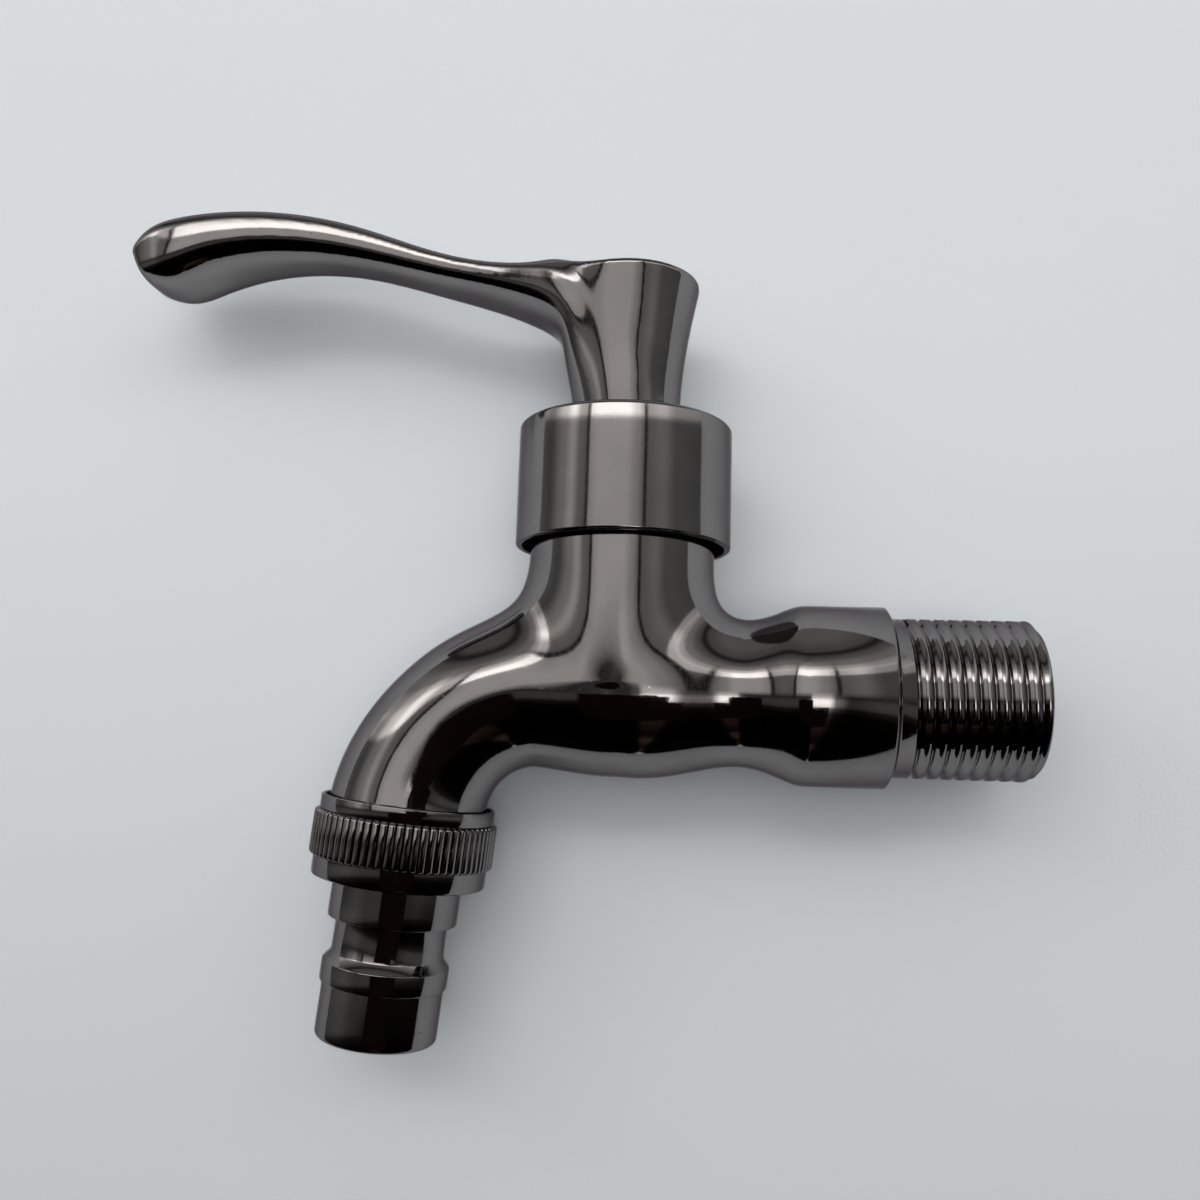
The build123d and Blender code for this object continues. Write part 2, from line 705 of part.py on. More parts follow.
# Lever handle: a flared hub turned about the spindle, with the arm blended in.
with BuildPart() as lever_handle:
    with BuildSketch(spindle_section):
        with BuildLine():
            Spline(
                (hub_foot_d / 2, hub_from),
                (hub_middle_d / 2, hub_middle_height),
                (hub_rim_d / 2, hub_top),
                tangents=((0, 1), (hub_rim_d - hub_middle_d, 2 * (hub_top - hub_middle_height))),
            )
            Polyline((hub_rim_d / 2, hub_top), (0, hub_top), (0, hub_from), (hub_foot_d / 2, hub_from))
        make_face()
    revolve(axis=spindle_axis)
    fillet(lever_handle.edges().group_by(Axis.Z)[-1], hub_rim_round)
    add(lever_arm.part)
    with BuildSketch(level(hub_from)):
        Circle(hub_skirt_bore_d / 2)
    extrude(amount=hub_socket_from - hub_from, mode=Mode.SUBTRACT)
    socket = toothed_outline(
        level(hub_socket_from),
        spline_tip_d + 2 * thread_clearance,
        spline_root_d + 2 * thread_clearance,
        spline_teeth,
    )
    extrude(socket, hub_web_from - hub_socket_from, mode=Mode.SUBTRACT)
    with BuildSketch(level(hub_web_from)):
        Circle(screw_passage_d / 2)
    extrude(amount=hub_web_top - hub_web_from, mode=Mode.SUBTRACT)
    with BuildSketch(level(hub_web_top)):
        Circle(screw_well_d / 2)
    extrude(amount=hub_top + arm_clearance - hub_web_top, mode=Mode.SUBTRACT)
    with BuildSketch(level(hub_top - cap_thickness)):
        Circle(cap_d / 2)
    extrude(amount=cap_thickness + arm_clearance, mode=Mode.SUBTRACT)

# Handle screw and its split washer, down in the hub's well.
with BuildPart() as handle_screw:
    with BuildSketch(level(screw_head_from)):
        Circle(screw_head_d / 2)
    extrude(amount=screw_head_height)
    fillet(handle_screw.edges().group_by(Axis.Z)[-1], screw_head_round)
    with BuildSketch(level(screw_head_from)):
        Circle(screw_d / 2)
    extrude(amount=-screw_length)
    chamfer(handle_screw.edges().group_by(Axis.Z)[0], screw_point_chamfer)
    with BuildSketch(level(screw_head_from + screw_head_height)):
        RegularPolygon(screw_drive_af / 2, 6, major_radius=False)
    extrude(amount=-screw_drive_depth, mode=Mode.SUBTRACT)

with BuildPart() as screw_washer:
    with BuildSketch(level(hub_web_top)):
        Circle(lock_washer_outer_d / 2)
        Circle(lock_washer_inner_d / 2, mode=Mode.SUBTRACT)
        with Locations((0, lock_washer_outer_d / 2)):
            Rectangle(lock_washer_split, lock_washer_outer_d, mode=Mode.SUBTRACT)
    extrude(amount=lock_washer_thickness)

# Plug that closes the hub's top, flush with its rim.
with BuildPart() as handle_cap:
    with BuildSketch(level(hub_top - cap_thickness)):
        Circle(cap_d / 2 - cap_clearance)
    extrude(amount=cap_thickness)
    fillet(handle_cap.edges().group_by(Axis.Z)[-1], cap_edge_round)
    with BuildSketch(level(hub_top - cap_thickness)):
        Circle(screw_well_d / 2 - cap_clearance)
        Circle(screw_well_d / 2 - cap_clearance - cap_skirt_wall, mode=Mode.SUBTRACT)
    extrude(amount=-cap_skirt)

# Knurled nut: thin rim over the spout, ribbed band, plain band, and an inward lip below.
with BuildPart() as hose_nut:
    with BuildSketch(along_outlet(0)):
        Circle(nut_rim_d / 2)
    extrude(amount=nut_rim_length)
    extrude(
        toothed_outline(along_outlet(nut_rim_length), knurl_d, knurl_d - 2 * knurl_depth, knurl_ribs),
        knurl_length,
    )
    with BuildSketch(along_outlet(nut_rim_length + knurl_length)):
        Circle(nut_band_d / 2)
    extrude(amount=nut_length - nut_rim_length - knurl_length)
    chamfer(hose_nut.faces().sort_by(outlet_axis)[-1].edges(), nut_edge_chamfer)
    with BuildSketch(along_outlet(0)):
        Circle(nut_mouth_d / 2)
    extrude(amount=nut_mouth_depth, mode=Mode.SUBTRACT)
    with BuildSketch(along_outlet(nut_mouth_depth)):
        Circle(nut_bore_d / 2)
    extrude(amount=nut_lip_from - nut_mouth_depth, mode=Mode.SUBTRACT)
    with BuildSketch(along_outlet(nut_lip_from)):
        Circle(nut_lip_bore_d / 2)
    extrude(amount=nut_length - nut_lip_from, mode=Mode.SUBTRACT)

# Flat washer between the spout's end and the nozzle's flange.
with BuildPart() as nozzle_washer:
    with BuildSketch(along_outlet(outlet_thread_end)):
        Circle(washer_outer_d / 2)
        Circle(washer_inner_d / 2, mode=Mode.SUBTRACT)
    extrude(amount=washer_thickness)

# Hose nozzle: flange under the nut's lip, shank, waist, flared barb and plain tail.
with BuildPart() as hose_nozzle:
    with BuildSketch(outlet_section):
        with BuildLine():
            Polyline(
                (nozzle_bore_d / 2, washer_end),
                (nozzle_flange_d / 2, washer_end),
                (nozzle_flange_d / 2, nozzle_flange_end),
                (nozzle_shank_d / 2, nozzle_flange_end),
                (nozzle_shank_d / 2, nozzle_shank_end),
                (nozzle_waist_d / 2, nozzle_shank_end),
                (nozzle_waist_d / 2, nozzle_waist_end),
                (nozzle_barb_d / 2, nozzle_flare_end),
                (nozzle_barb_d / 2, nozzle_barb_end),
                (nozzle_tail_d / 2, nozzle_barb_end),
                (nozzle_tail_d / 2, nozzle_end),
                (nozzle_bore_d / 2, nozzle_end),
                close=True,
            )
        make_face()
    revolve(axis=outlet_axis)
    rounds = hose_nozzle.edges().filter_by(GeomType.CIRCLE)
    fillet(rounds.sort_by(outlet_axis)[-2:], nozzle_end_round)

save(tap_body, "tap_body")
save(cartridge_body, "cartridge_body")
save(headwork_gasket, "headwork_gasket")
save(spindle, "spindle")
save(spindle_o_rings, "spindle_o_rings")
save(retaining_clip, "retaining_clip")
save(thrust_washer, "thrust_washer")
save(moving_disc, "moving_disc")
save(fixed_disc, "fixed_disc")
save(seat_seal, "seat_seal")
save(seal_support_ring, "seal_support_ring")
save(bonnet_ring, "bonnet_ring")
save(bonnet_o_ring, "bonnet_o_ring")
save(lever_handle, "lever_handle")
save(handle_screw, "handle_screw")
save(screw_washer, "screw_washer")
save(handle_cap, "handle_cap")
save(hose_nut, "hose_nut")
save(nozzle_washer, "nozzle_washer")
save(hose_nozzle, "hose_nozzle")
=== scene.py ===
"""A quarter-turn bib tap on a pale table under soft light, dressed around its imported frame.

Metres, +Z up along the spindle, +X along the inlet. The sizes that the classes of the tap hold
are in millimetres, and every size is the real one.
"""

import json
import logging
import math
from dataclasses import dataclass
from enum import Enum
from typing import Any, Callable, ClassVar, Iterable, Sequence

import bmesh
import bpy
import numpy as np
from mathutils import Matrix, Vector


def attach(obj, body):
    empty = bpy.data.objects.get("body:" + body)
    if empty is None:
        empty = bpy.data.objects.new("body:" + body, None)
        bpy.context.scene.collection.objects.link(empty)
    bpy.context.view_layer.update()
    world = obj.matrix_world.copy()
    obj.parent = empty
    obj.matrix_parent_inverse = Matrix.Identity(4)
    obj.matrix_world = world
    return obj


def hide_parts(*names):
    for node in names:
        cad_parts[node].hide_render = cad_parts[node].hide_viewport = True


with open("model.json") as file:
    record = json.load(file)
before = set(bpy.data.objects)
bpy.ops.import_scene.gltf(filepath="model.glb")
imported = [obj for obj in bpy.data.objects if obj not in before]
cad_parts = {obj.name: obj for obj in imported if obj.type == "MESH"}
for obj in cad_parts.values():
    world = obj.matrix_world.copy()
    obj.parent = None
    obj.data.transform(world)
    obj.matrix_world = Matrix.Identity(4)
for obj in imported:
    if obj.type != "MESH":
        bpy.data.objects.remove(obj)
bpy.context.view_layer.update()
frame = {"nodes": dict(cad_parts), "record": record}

LOG = logging.getLogger("bib_tap")
MM = 0.001

Colour = tuple[float, float, float]
Point = tuple[float, float, float]
Pair = tuple[float, float]
Shell = tuple[list[Point], list[tuple[int, ...]]]
Socket = bpy.types.NodeSocket
Field = Callable[[np.ndarray], np.ndarray]


class Body(Enum):
    """The moving bodies that a piece can ride on."""

    TAP = "body"
    LEVER = "lever"
    NOZZLE = "connector"
    NUT = "nut"


class Slot(Enum):
    """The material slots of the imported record."""

    BODY = "plated_body"
    TRIM = "plated_trim"
    LEVER = "plated_lever"
    BRASS = "headwork_brass"
    CERAMIC = "disc_ceramic"
    RUBBER = "seal_rubber"
    PLASTIC = "bearing_plastic"
    FIBRE = "fibre_gasket"
    STEEL = "small_steel"


@dataclass(frozen=True)
class Axis:
    """A turning axis of the tap, in metres.

    Args:
        origin: a point on the axis.
        direction: the way that distances along it grow, of unit length.
    """

    origin: Point
    direction: Point

    def matrix(self) -> Matrix:
        """Return the placing matrix whose local Z runs along the axis."""
        along = Vector(self.direction).normalized()
        side = Vector((0.0, 1.0, 0.0)).cross(along).normalized()
        across = along.cross(side)
        turn = Matrix((side, across, along)).transposed().to_4x4()
        return Matrix.Translation(Vector(self.origin)) @ turn


SPINDLE_X = -38.0
OUTLET_TILT = math.radians(5.4)
SPINDLE = Axis((SPINDLE_X * MM, 0.0, 0.0), (0.0, 0.0, 1.0))
OUTLET = Axis(
    (-65.84 * MM, 0.0, -15.55 * MM),
    (-math.sin(OUTLET_TILT), 0.0, -math.cos(OUTLET_TILT)),
)


def full_colour(colour: Any) -> Any:
    """Return a plain colour with its alpha, or a socket as it is."""
    return colour if isinstance(colour, Socket) else (*colour, 1.0)


class Graph:
    """A short way to write a node tree: nodes by type, inputs by name or number."""

    def __init__(self, tree: bpy.types.NodeTree) -> None:
        """Start on an empty tree."""
        self.tree = tree
        tree.nodes.clear()

    def add(self, kind: str, inputs: dict[str | int, Any] | None = None, **settings: Any) -> bpy.types.Node:
        """Add a node.

        Args:
            kind: the node's type.
            inputs: a value or an output socket for each named or numbered input.
            settings: attributes of the node.

        Returns:
            The new node.
        """
        node = self.tree.nodes.new(kind)
        for name, value in settings.items():
            setattr(node, name, value)
        for key, value in (inputs or {}).items():
            if isinstance(value, Socket):
                self.tree.links.new(value, node.inputs[key])
            else:
                node.inputs[key].default_value = value
        return node

    def maths(self, operation: str, *values: Any, clamp: bool = False) -> Socket:
        """Return the output of a Math node on the given values."""
        node = self.add("ShaderNodeMath", dict(enumerate(values)), operation=operation, use_clamp=clamp)
        return node.outputs[0]

    def product(self, first: Any, *others: Any) -> Socket:
        """Return several values multiplied together."""
        for other in others:
            first = self.maths("MULTIPLY", first, other)
        return first

    def span(self, value: Any, low: float, high: float, to_low: float = 0.0, to_high: float = 1.0) -> Socket:
        """Return a value mapped from one range to another, held at both ends."""
        node = self.add(
            "ShaderNodeMapRange",
            {"Value": value, "From Min": low, "From Max": high, "To Min": to_low, "To Max": to_high},
        )
        return node.outputs["Result"]

    def place(self) -> Socket:
        """Return the shaded point's place in its object's coordinates."""
        return self.add("ShaderNodeTexCoord").outputs["Object"]

    def split(self, vector: Socket) -> Any:
        """Return the X, Y and Z outputs of a vector."""
        return self.add("ShaderNodeSeparateXYZ", {0: vector}).outputs

    def mapped(self, place: Socket, **settings: Point) -> Socket:
        """Return a place moved, turned or scaled by a Mapping node's named inputs."""
        return self.add("ShaderNodeMapping", {"Vector": place, **settings}).outputs[0]

    def noise(self, place: Socket, scale: float, detail: float, roughness: float = 0.5) -> Socket:
        """Return a noise pattern's value, from 0 to 1."""
        inputs = {"Vector": place, "Scale": scale, "Detail": detail, "Roughness": roughness}
        return self.add("ShaderNodeTexNoise", inputs).outputs[0]

    def blend(self, share: Any, first: Any, second: Any) -> Socket:
        """Return a colour between two others, each a socket or a plain colour."""
        inputs = {"Fac": share, "Color1": full_colour(first), "Color2": full_colour(second)}
        return self.add("ShaderNodeMixRGB", inputs).outputs[0]

    def bump(self, depth: float, height: Socket, **normal: Socket) -> Socket:
        """Return a normal bent by a height pattern, whose depth is in metres."""
        inputs = {"Strength": 1.0, "Distance": depth, "Height": height, **normal}
        return self.add("ShaderNodeBump", inputs).outputs[0]

    def show(self, shader: bpy.types.Node) -> None:
        """Send a shader to the material's output."""
        self.add("ShaderNodeOutputMaterial", {"Surface": shader.outputs[0]})


def new_surface(name: str) -> tuple[bpy.types.Material, Graph]:
    """Start a new material.

    Args:
        name: its name.

    Returns:
        The material and its empty graph.
    """
    material = bpy.data.materials.new(name)
    material.use_nodes = True
    return material, Graph(material.node_tree)


class Grain(Enum):
    """The way that a finish was worked, as the number of its marks to the metre each way."""

    POLISHED = (5200.0, 5200.0, 420.0)
    TURNED = (90.0, 90.0, 14000.0)


@dataclass(frozen=True)
class PlatedFinish:
    """Dark nickel plating over polished or turned brass.

    Depths are in metres: that of the turning or brush marks, and that of the ripple, the slow
    unevenness left by polishing. A scale is the number of swells, specks or places for a casting
    pit to the metre, and pit_chance is the share of these places that hold a pit. The edge tint
    is how much of the light the plating returns at a grazing look.
    """

    name: str
    colour: Colour
    roughness: float
    grain: Grain = Grain.POLISHED
    axis: Axis = SPINDLE
    marks: float = 0.6e-6
    seed: float = 0.0
    ripple: float = 3.0e-6
    ripple_scale: float = 160.0
    speck_scale: float = 2600.0
    pit_scale: float = 420.0
    pit_chance: float = 0.14
    pit_colour: Colour = (0.02, 0.018, 0.018)
    edge_tint: Colour = (0.42, 0.40, 0.41)

    def pits(self, graph: Graph, place: Socket) -> Socket:
        """Return 1 inside the scattered casting pits and 0 elsewhere.

        Args:
            graph: the material's graph.
            place: the pattern's place.

        Returns:
            The mask's socket.
        """
        cells = graph.add("ShaderNodeTexVoronoi", {"Vector": place, "Scale": self.pit_scale})
        chance = graph.add("ShaderNodeSeparateColor", {0: cells.outputs["Color"]}).outputs[0]
        dots = graph.span(cells.outputs["Distance"], 0.03, 0.07, 1.0, 0.0)
        return graph.product(dots, graph.maths("LESS_THAN", chance, self.pit_chance))

    def build(self) -> bpy.types.Material:
        """Build the finish.

        Returns:
            The material, patterned in object coordinates.
        """
        material, graph = new_surface(self.name)
        turn = tuple(self.axis.matrix().inverted().to_euler())
        local = graph.mapped(graph.place(), Location=(self.seed, 0.0, 0.0), Rotation=turn)
        brush = graph.noise(graph.mapped(local, Scale=self.grain.value), 1.0, 4.0, 0.65)
        slow = graph.noise(local, self.ripple_scale, 2.0, 0.4)
        speck = graph.noise(local, self.speck_scale, 3.0)
        pits = self.pits(graph, local)
        rough = graph.maths("ADD", graph.span(brush, 0.3, 0.7, -0.025, 0.03), self.roughness)
        rough = graph.maths("ADD", rough, graph.span(speck, 0.45, 0.75, 0.0, 0.05))
        rough = graph.maths("ADD", rough, graph.product(pits, 0.3), clamp=True)
        darker, lighter = (tuple(part * share for part in self.colour) for share in (0.94, 1.05))
        shade = graph.blend(graph.span(slow, 0.35, 0.65), darker, lighter)
        tint = graph.blend(graph.product(pits, 0.8), shade, self.pit_colour)
        normal = graph.bump(self.marks, brush, Normal=graph.bump(self.ripple, slow))
        graph.show(graph.add(
            "ShaderNodeBsdfPrincipled",
            {"Base Color": tint, "Metallic": 1.0, "Roughness": rough, "Normal": normal,
             "Specular Tint": full_colour(self.edge_tint)},
        ))
        return material


@dataclass(frozen=True)
class PlainFinish:
    """A finish for the parts inside: rubber, plastic, fibre, ceramic, brass or steel.

    Its grain shows the shade in its low places, and has a lowest and a highest roughness, a
    number of grains to the metre and a depth in metres.
    """

    name: str
    colour: Colour
    shade: Colour
    roughness: Pair
    metallic: float = 0.0
    scale: float = 900.0
    depth: float = 4.0e-6

    def build(self) -> bpy.types.Material:
        """Build the finish.

        Returns:
            The material, patterned in object coordinates.
        """
        material, graph = new_surface(self.name)
        grain = graph.noise(graph.place(), self.scale, 5.0, 0.6)
        graph.show(graph.add(
            "ShaderNodeBsdfPrincipled",
            {"Base Color": graph.blend(graph.span(grain, 0.35, 0.65), self.shade, self.colour),
             "Metallic": self.metallic, "Normal": graph.bump(self.depth, grain),
             "Roughness": graph.span(grain, 0.3, 0.7, *self.roughness)},
        ))
        return material


PLATING: Colour = (0.218, 0.208, 0.206)


class Look(Enum):
    """Every finish on the tap."""

    CAST_BODY = PlatedFinish("polished_body_plating", PLATING, 0.055)
    BONNET = PlatedFinish("turned_bonnet_plating", PLATING, 0.065, Grain.TURNED, marks=0.9e-6)
    OUTLET_TRIM = PlatedFinish("turned_outlet_plating", PLATING, 0.055, Grain.TURNED, OUTLET, seed=0.2)
    LEVER = PlatedFinish("polished_lever_plating", PLATING, 0.06, seed=0.4)
    BRASS = PlainFinish("bare_brass", (0.74, 0.56, 0.28), (0.62, 0.45, 0.2), (0.18, 0.3), 1.0)
    CERAMIC = PlainFinish("lapped_ceramic", (0.9, 0.88, 0.84), (0.84, 0.82, 0.78), (0.12, 0.22))
    RUBBER = PlainFinish("moulded_rubber", (0.035, 0.035, 0.038), (0.02, 0.02, 0.022), (0.5, 0.65))
    PLASTIC = PlainFinish("moulded_plastic", (0.85, 0.84, 0.8), (0.78, 0.77, 0.73), (0.4, 0.5))
    FIBRE = PlainFinish("pressed_fibre", (0.45, 0.2, 0.14), (0.3, 0.12, 0.08), (0.75, 0.9), scale=2500.0)
    STEEL = PlainFinish("bright_steel", (0.6, 0.6, 0.61), (0.5, 0.5, 0.51), (0.2, 0.32), 1.0)


SLOT_LOOKS: dict[Slot, Look] = {
    Slot.BODY: Look.CAST_BODY, Slot.TRIM: Look.BONNET, Slot.LEVER: Look.LEVER, Slot.BRASS: Look.BRASS,
    Slot.CERAMIC: Look.CERAMIC, Slot.RUBBER: Look.RUBBER, Slot.PLASTIC: Look.PLASTIC,
    Slot.FIBRE: Look.FIBRE, Slot.STEEL: Look.STEEL,
}


class Finishes:
    """Builds each finish once and hands it out."""

    def __init__(self) -> None:
        """Start with no material built."""
        self.made: dict[Look, bpy.types.Material] = {}

    def get(self, look: Look) -> bpy.types.Material:
        """Return a look's material, made the first time that it is asked for."""
        if look not in self.made:
            self.made[look] = look.value.build()
        return self.made[look]


def dress_node(node: str, material: bpy.types.Material) -> None:
    """Give a carried-over node a finish.

    Args:
        node: the node's name.
        material: the finish that replaces its plain one.
    """
    for slot in frame["nodes"][node].material_slots:
        slot.material = material
    LOG.info("%s keeps its own mesh, finish %s", node, material.name)


class SmoothLine:
    """A smooth curve of any number of values through given points, by natural cubic pieces."""

    def __init__(self, places: Sequence[float], values: Sequence[Any], level_start: bool = False) -> None:
        """Solve the curve's slopes.

        Args:
            places: where the points lie, growing.
            values: the value, or row of values, at each point.
            level_start: whether the curve starts out level.
        """
        self.places = np.asarray(places, dtype=float)
        self.values = np.asarray(values, dtype=float).reshape(len(self.places), -1)
        steps = np.diff(self.places)
        count = len(self.places)
        system = np.zeros((count, count))
        right = np.zeros_like(self.values)
        system[0, :2] = 2.0, 1.0
        system[-1, -2:] = 1.0, 2.0
        rises = np.diff(self.values, axis=0) / steps[:, None]
        right[0], right[-1] = 3.0 * rises[0], 3.0 * rises[-1]
        if level_start:
            system[0, :2] = 1.0, 0.0
            right[0] = 0.0
        for k in range(1, count - 1):
            system[k, k - 1:k + 2] = steps[k], 2.0 * (steps[k - 1] + steps[k]), steps[k - 1]
            right[k] = 3.0 * (steps[k] * rises[k - 1] + steps[k - 1] * rises[k])
        self.slopes = np.linalg.solve(system, right)

    def at(self, where: Any) -> np.ndarray:
        """Look the curve up, held at both ends.

        Args:
            where: the places along it.

        Returns:
            A row of values for each place.
        """
        where = np.clip(np.atleast_1d(where), self.places[0], self.places[-1])
        k = np.clip(np.searchsorted(self.places, where) - 1, 0, len(self.places) - 2)
        step = (self.places[k + 1] - self.places[k])[:, None]
        t = (where - self.places[k])[:, None] / step
        from_start = (1 + 2 * t) * (1 - t) ** 2 * self.values[k] + t * (1 - t) ** 2 * step * self.slopes[k]
        to_end = t * t * (3 - 2 * t) * self.values[k + 1] - t * t * (1 - t) * step * self.slopes[k + 1]
        return from_start + to_end


def joined_softly(first: np.ndarray, second: np.ndarray, reach: Any) -> np.ndarray:
    """Join two forms by a fillet.

    Args:
        first: distances to one form.
        second: distances to the other.
        reach: how far the fillet reaches.

    Returns:
        The distances to the joined form.
    """
    share = np.maximum(reach - np.abs(first - second), 0.0) / np.maximum(reach, 1e-6)
    return np.minimum(first, second) - share ** 3 * reach / 6


def cut_softly(first: np.ndarray, second: np.ndarray, reach: Any) -> np.ndarray:
    """Return the distances to what lies inside both forms, with a rounded edge."""
    return -joined_softly(-first, -second, reach)


def from_spindle(points: np.ndarray) -> np.ndarray:
    """Return how far each point lies from the spindle's axis."""
    return np.hypot(points[:, 0] - SPINDLE_X, points[:, 1])


def nearest(places: np.ndarray, line: np.ndarray) -> np.ndarray:
    """Return the number of the line's point that is nearest to each place."""
    return ((places[:, None, :] - line[None, :, :]) ** 2).sum(axis=2).argmin(axis=1)


def in_parts(shape: Field, points: np.ndarray, most: int = 8000) -> np.ndarray:
    """Return a field's distances, worked out for a part of the points at a time."""
    return np.concatenate([shape(points[start:start + most]) for start in range(0, len(points), most)])


def settle_on(shape: Field, points: np.ndarray, rounds: int = 4, step: float = 0.02) -> np.ndarray:
    """Move points along the field's slope until they lie on its surface.

    Args:
        shape: the distance field, in millimetres.
        points: the points, in millimetres.
        rounds: how many times they move.
        step: how far apart the slope is measured.

    Returns:
        The moved points.
    """
    for _ in range(rounds):
        slope = np.empty_like(points)
        for axis in range(3):
            shift = np.zeros(3)
            shift[axis] = step
            slope[:, axis] = (shape(points + shift) - shape(points - shift)) / (2 * step)
        weight = np.maximum((slope * slope).sum(axis=1), 0.05)
        points = points - (shape(points) / weight)[:, None] * slope
    return points


def rings_round_spindle(heights: np.ndarray, radii: np.ndarray, angles: np.ndarray) -> list[np.ndarray]:
    """Return a ring of points about the spindle for each height and radius."""
    return [
        np.column_stack([SPINDLE_X + np.cos(angles) * r, np.sin(angles) * r, np.full(len(angles), z)])
        for z, r in zip(heights, radii)
    ]


def tilted_ring(middle: Any, tilt: Any, reach: float, half: float, angles: np.ndarray) -> np.ndarray:
    """Return a ring of points round a place in the tap's plane of symmetry.

    Args:
        middle: the place, along the inlet's axis and up.
        tilt: the direction in that plane in which the ring reaches out.
        reach: how far it reaches in that direction.
        half: how far it reaches to each side.
        angles: the points' angles round the ring.

    Returns:
        The points in order.
    """
    out = np.cos(angles) * reach
    return np.column_stack([middle[0] + tilt[0] * out, np.sin(angles) * half, middle[1] + tilt[1] * out])


def swept_shell(rings: Sequence[np.ndarray]) -> Shell:
    """Make a closed tube through rings of points.

    Args:
        rings: the rings in order, each with as many points.

    Returns:
        The tube's vertices and faces.
    """
    count = len(rings[0])
    points = [tuple(point) for ring in rings for point in ring]
    faces: list[tuple[int, ...]] = []
    for near in range(0, (len(rings) - 1) * count, count):
        far = near + count
        faces += [(near + k, near + (k + 1) % count, far + (k + 1) % count, far + k) for k in range(count)]
    faces.append(tuple(range(count))[::-1])
    faces.append(tuple(range((len(rings) - 1) * count, len(rings) * count)))
    return points, faces


def plain_mesh(thing: bpy.types.Object) -> bpy.types.Mesh:
    """Work an object's modifiers into a plain mesh, and remove the object.

    Args:
        thing: the object.

    Returns:
        The mesh.
    """
    graph = bpy.context.evaluated_depsgraph_get()
    mesh = bpy.data.meshes.new_from_object(thing.evaluated_get(graph))
    bpy.data.objects.remove(thing)
    return mesh


def linked(name: str, data: Any) -> bpy.types.Object:
    """Link a new object to the scene.

    Args:
        name: its name.
        data: the mesh, lamp or camera that it holds.

    Returns:
        The object.
    """
    thing = bpy.data.objects.new(name, data)
    bpy.context.scene.collection.objects.link(thing)
    return thing


def voxel_skin(shells: Iterable[Shell], grain: float) -> bpy.types.Mesh:
    """Join closed shells into one skin of even quads.

    Args:
        shells: vertices and faces of each closed shell, in millimetres.
        grain: the quads' size in millimetres.

    Returns:
        The skin's mesh, in millimetres.
    """
    points: list[Point] = []
    faces: list[tuple[int, ...]] = []
    for shell_points, shell_faces in shells:
        start = len(points)
        points += shell_points
        faces += [tuple(start + k for k in face) for face in shell_faces]
    mesh = bpy.data.meshes.new("rough_skin")
    mesh.from_pydata(points, [], faces)
    holder = linked("rough_skin", mesh)
    bm = bmesh.new()
    bm.from_mesh(mesh)
    bmesh.ops.recalc_face_normals(bm, faces=bm.faces)
    bm.to_mesh(mesh)
    bm.free()
    remesh = holder.modifiers.new("even_quads", "REMESH")
    remesh.mode = "VOXEL"
    remesh.voxel_size = grain
    return plain_mesh(holder)


def fitted_skin(shape: Field, skin: bpy.types.Mesh) -> bmesh.types.BMesh:
    """Lay an even skin on a distance field's surface, and open it for editing.

    Args:
        shape: the distance field, in millimetres.
        skin: the skin's mesh, in millimetres.

    Returns:
        The fitted skin, in millimetres.
    """
    points = np.empty(len(skin.vertices) * 3)
    skin.vertices.foreach_get("co", points)
    points = settle_on(shape, points.reshape(-1, 3))
    skin.vertices.foreach_set("co", points.ravel())
    skin.update()
    bm = bmesh.new()
    bm.from_mesh(skin)
    return bm


